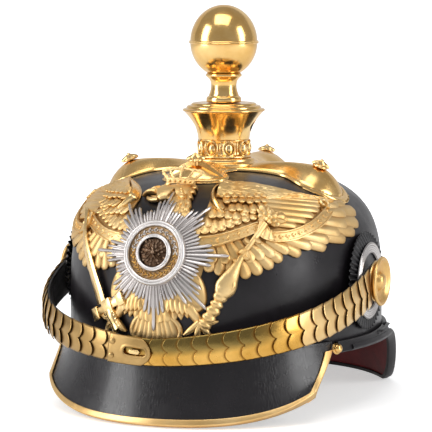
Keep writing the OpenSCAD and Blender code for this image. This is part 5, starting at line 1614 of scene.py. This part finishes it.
def paper():
    """White paper that glows evenly to the camera, and weakly in reflections."""
    f = Finish("white_paper", Base_Color=(0.86, 0.86, 0.86, 1), Roughness=0.9, Specular_IOR_Level=0.1,
               Emission_Color=(1, 1, 1, 1))
    ray = f.tree.nodes.new("ShaderNodeLightPath").outputs
    away = f.tree.nodes.new("ShaderNodeVectorMath")
    away.operation = "LENGTH"
    f.join(f.place, away.inputs[0])
    glow = f.span(away.outputs["Value"], 0.15, 1.1, 0.5, 1.0)
    seen = f.sum(f.sum(ray["Is Glossy Ray"], 0.32, "MULTIPLY"), ray["Is Camera Ray"])
    f.put("Emission Strength", f.sum(glow, f.sum(seen, ray["Is Transmission Ray"], "MAXIMUM"), "MULTIPLY"))
    return f.material


FLAT_RUN, BEND_RUN, BEND_R = 7, 2.36, 1.5
VIEW_AZIMUTH, VIEW_ELEVATION, VIEW_DISTANCE = 22, 6, 1.4


def sweep_of_paper(u, v):
    """A wide floor that turns up into a wall behind."""
    x = mix(-7, 7, u)
    run = v * 12
    if run < FLAT_RUN:
        return (x, run - 4.2, 0)
    a = min(1, (run - FLAT_RUN) / BEND_RUN) * pi / 2
    return (x, 2.8 + BEND_R * sin(a), BEND_R * (1 - cos(a)) + max(0, run - FLAT_RUN - BEND_RUN))


bm = bmesh.new()
lattice(bm, 12, 60, sweep_of_paper)
move(bm, shifted(0, 0, FLOOR_Z) @ about(VIEW_AZIMUTH))
settle(bm, (0, 0, 1))
mesh = bpy.data.meshes.new("paper_sweep")
bm.to_mesh(mesh)
bm.free()
mesh.shade_smooth()
mesh.materials.append(paper())
into_scene("paper_sweep", mesh)

AIM = Vector((0, 0, 0.07))


def aimed(obj, azimuth, elevation, distance):
    """Stands a light or the camera off from the helmet, turned to it."""
    a, e = radians(azimuth), radians(elevation)
    obj.location = AIM + Vector((sin(a) * cos(e), -cos(a) * cos(e), sin(e))) * distance
    obj.rotation_euler = (AIM - obj.location).to_track_quat("-Z", "Y").to_euler()
    return obj


def softbox(name, azimuth, elevation, distance, width, height, power):
    light = bpy.data.lights.new(name, "AREA")
    light.shape = "RECTANGLE"
    light.size = width
    light.size_y = height
    light.energy = power
    aimed(into_scene(name, light), azimuth, elevation, distance)


softbox("left_softbox", -48, 18, 1.7, 0.7, 1.5, 17)
softbox("right_softbox", 88, 16, 1.8, 0.6, 1.5, 15)
softbox("top_softbox", 10, 72, 1.6, 1.2, 1.0, 11)

world = bpy.data.worlds.new("studio")
bpy.context.scene.world = world
world.use_nodes = True
background = world.node_tree.nodes["Background"].inputs
background["Color"].default_value = (0.38, 0.38, 0.39, 1)
background["Strength"].default_value = 1.0

# The picture's width, the lens, and the point where the aim falls, in pixels
PICTURE, LENS, AIM_X, AIM_Y = 432, 2330, 227.6, 213.5
camera = bpy.data.cameras.new("camera")
camera.sensor_width = 36
camera.lens = 36 * LENS / PICTURE
camera.shift_x = (PICTURE / 2 - AIM_X) / PICTURE
camera.shift_y = (AIM_Y - PICTURE / 2) / PICTURE
camera.clip_end = 100
bpy.context.scene.camera = aimed(into_scene("camera", camera), VIEW_AZIMUTH, VIEW_ELEVATION, VIEW_DISTANCE)
bpy.context.scene.view_settings.view_transform = "Standard"
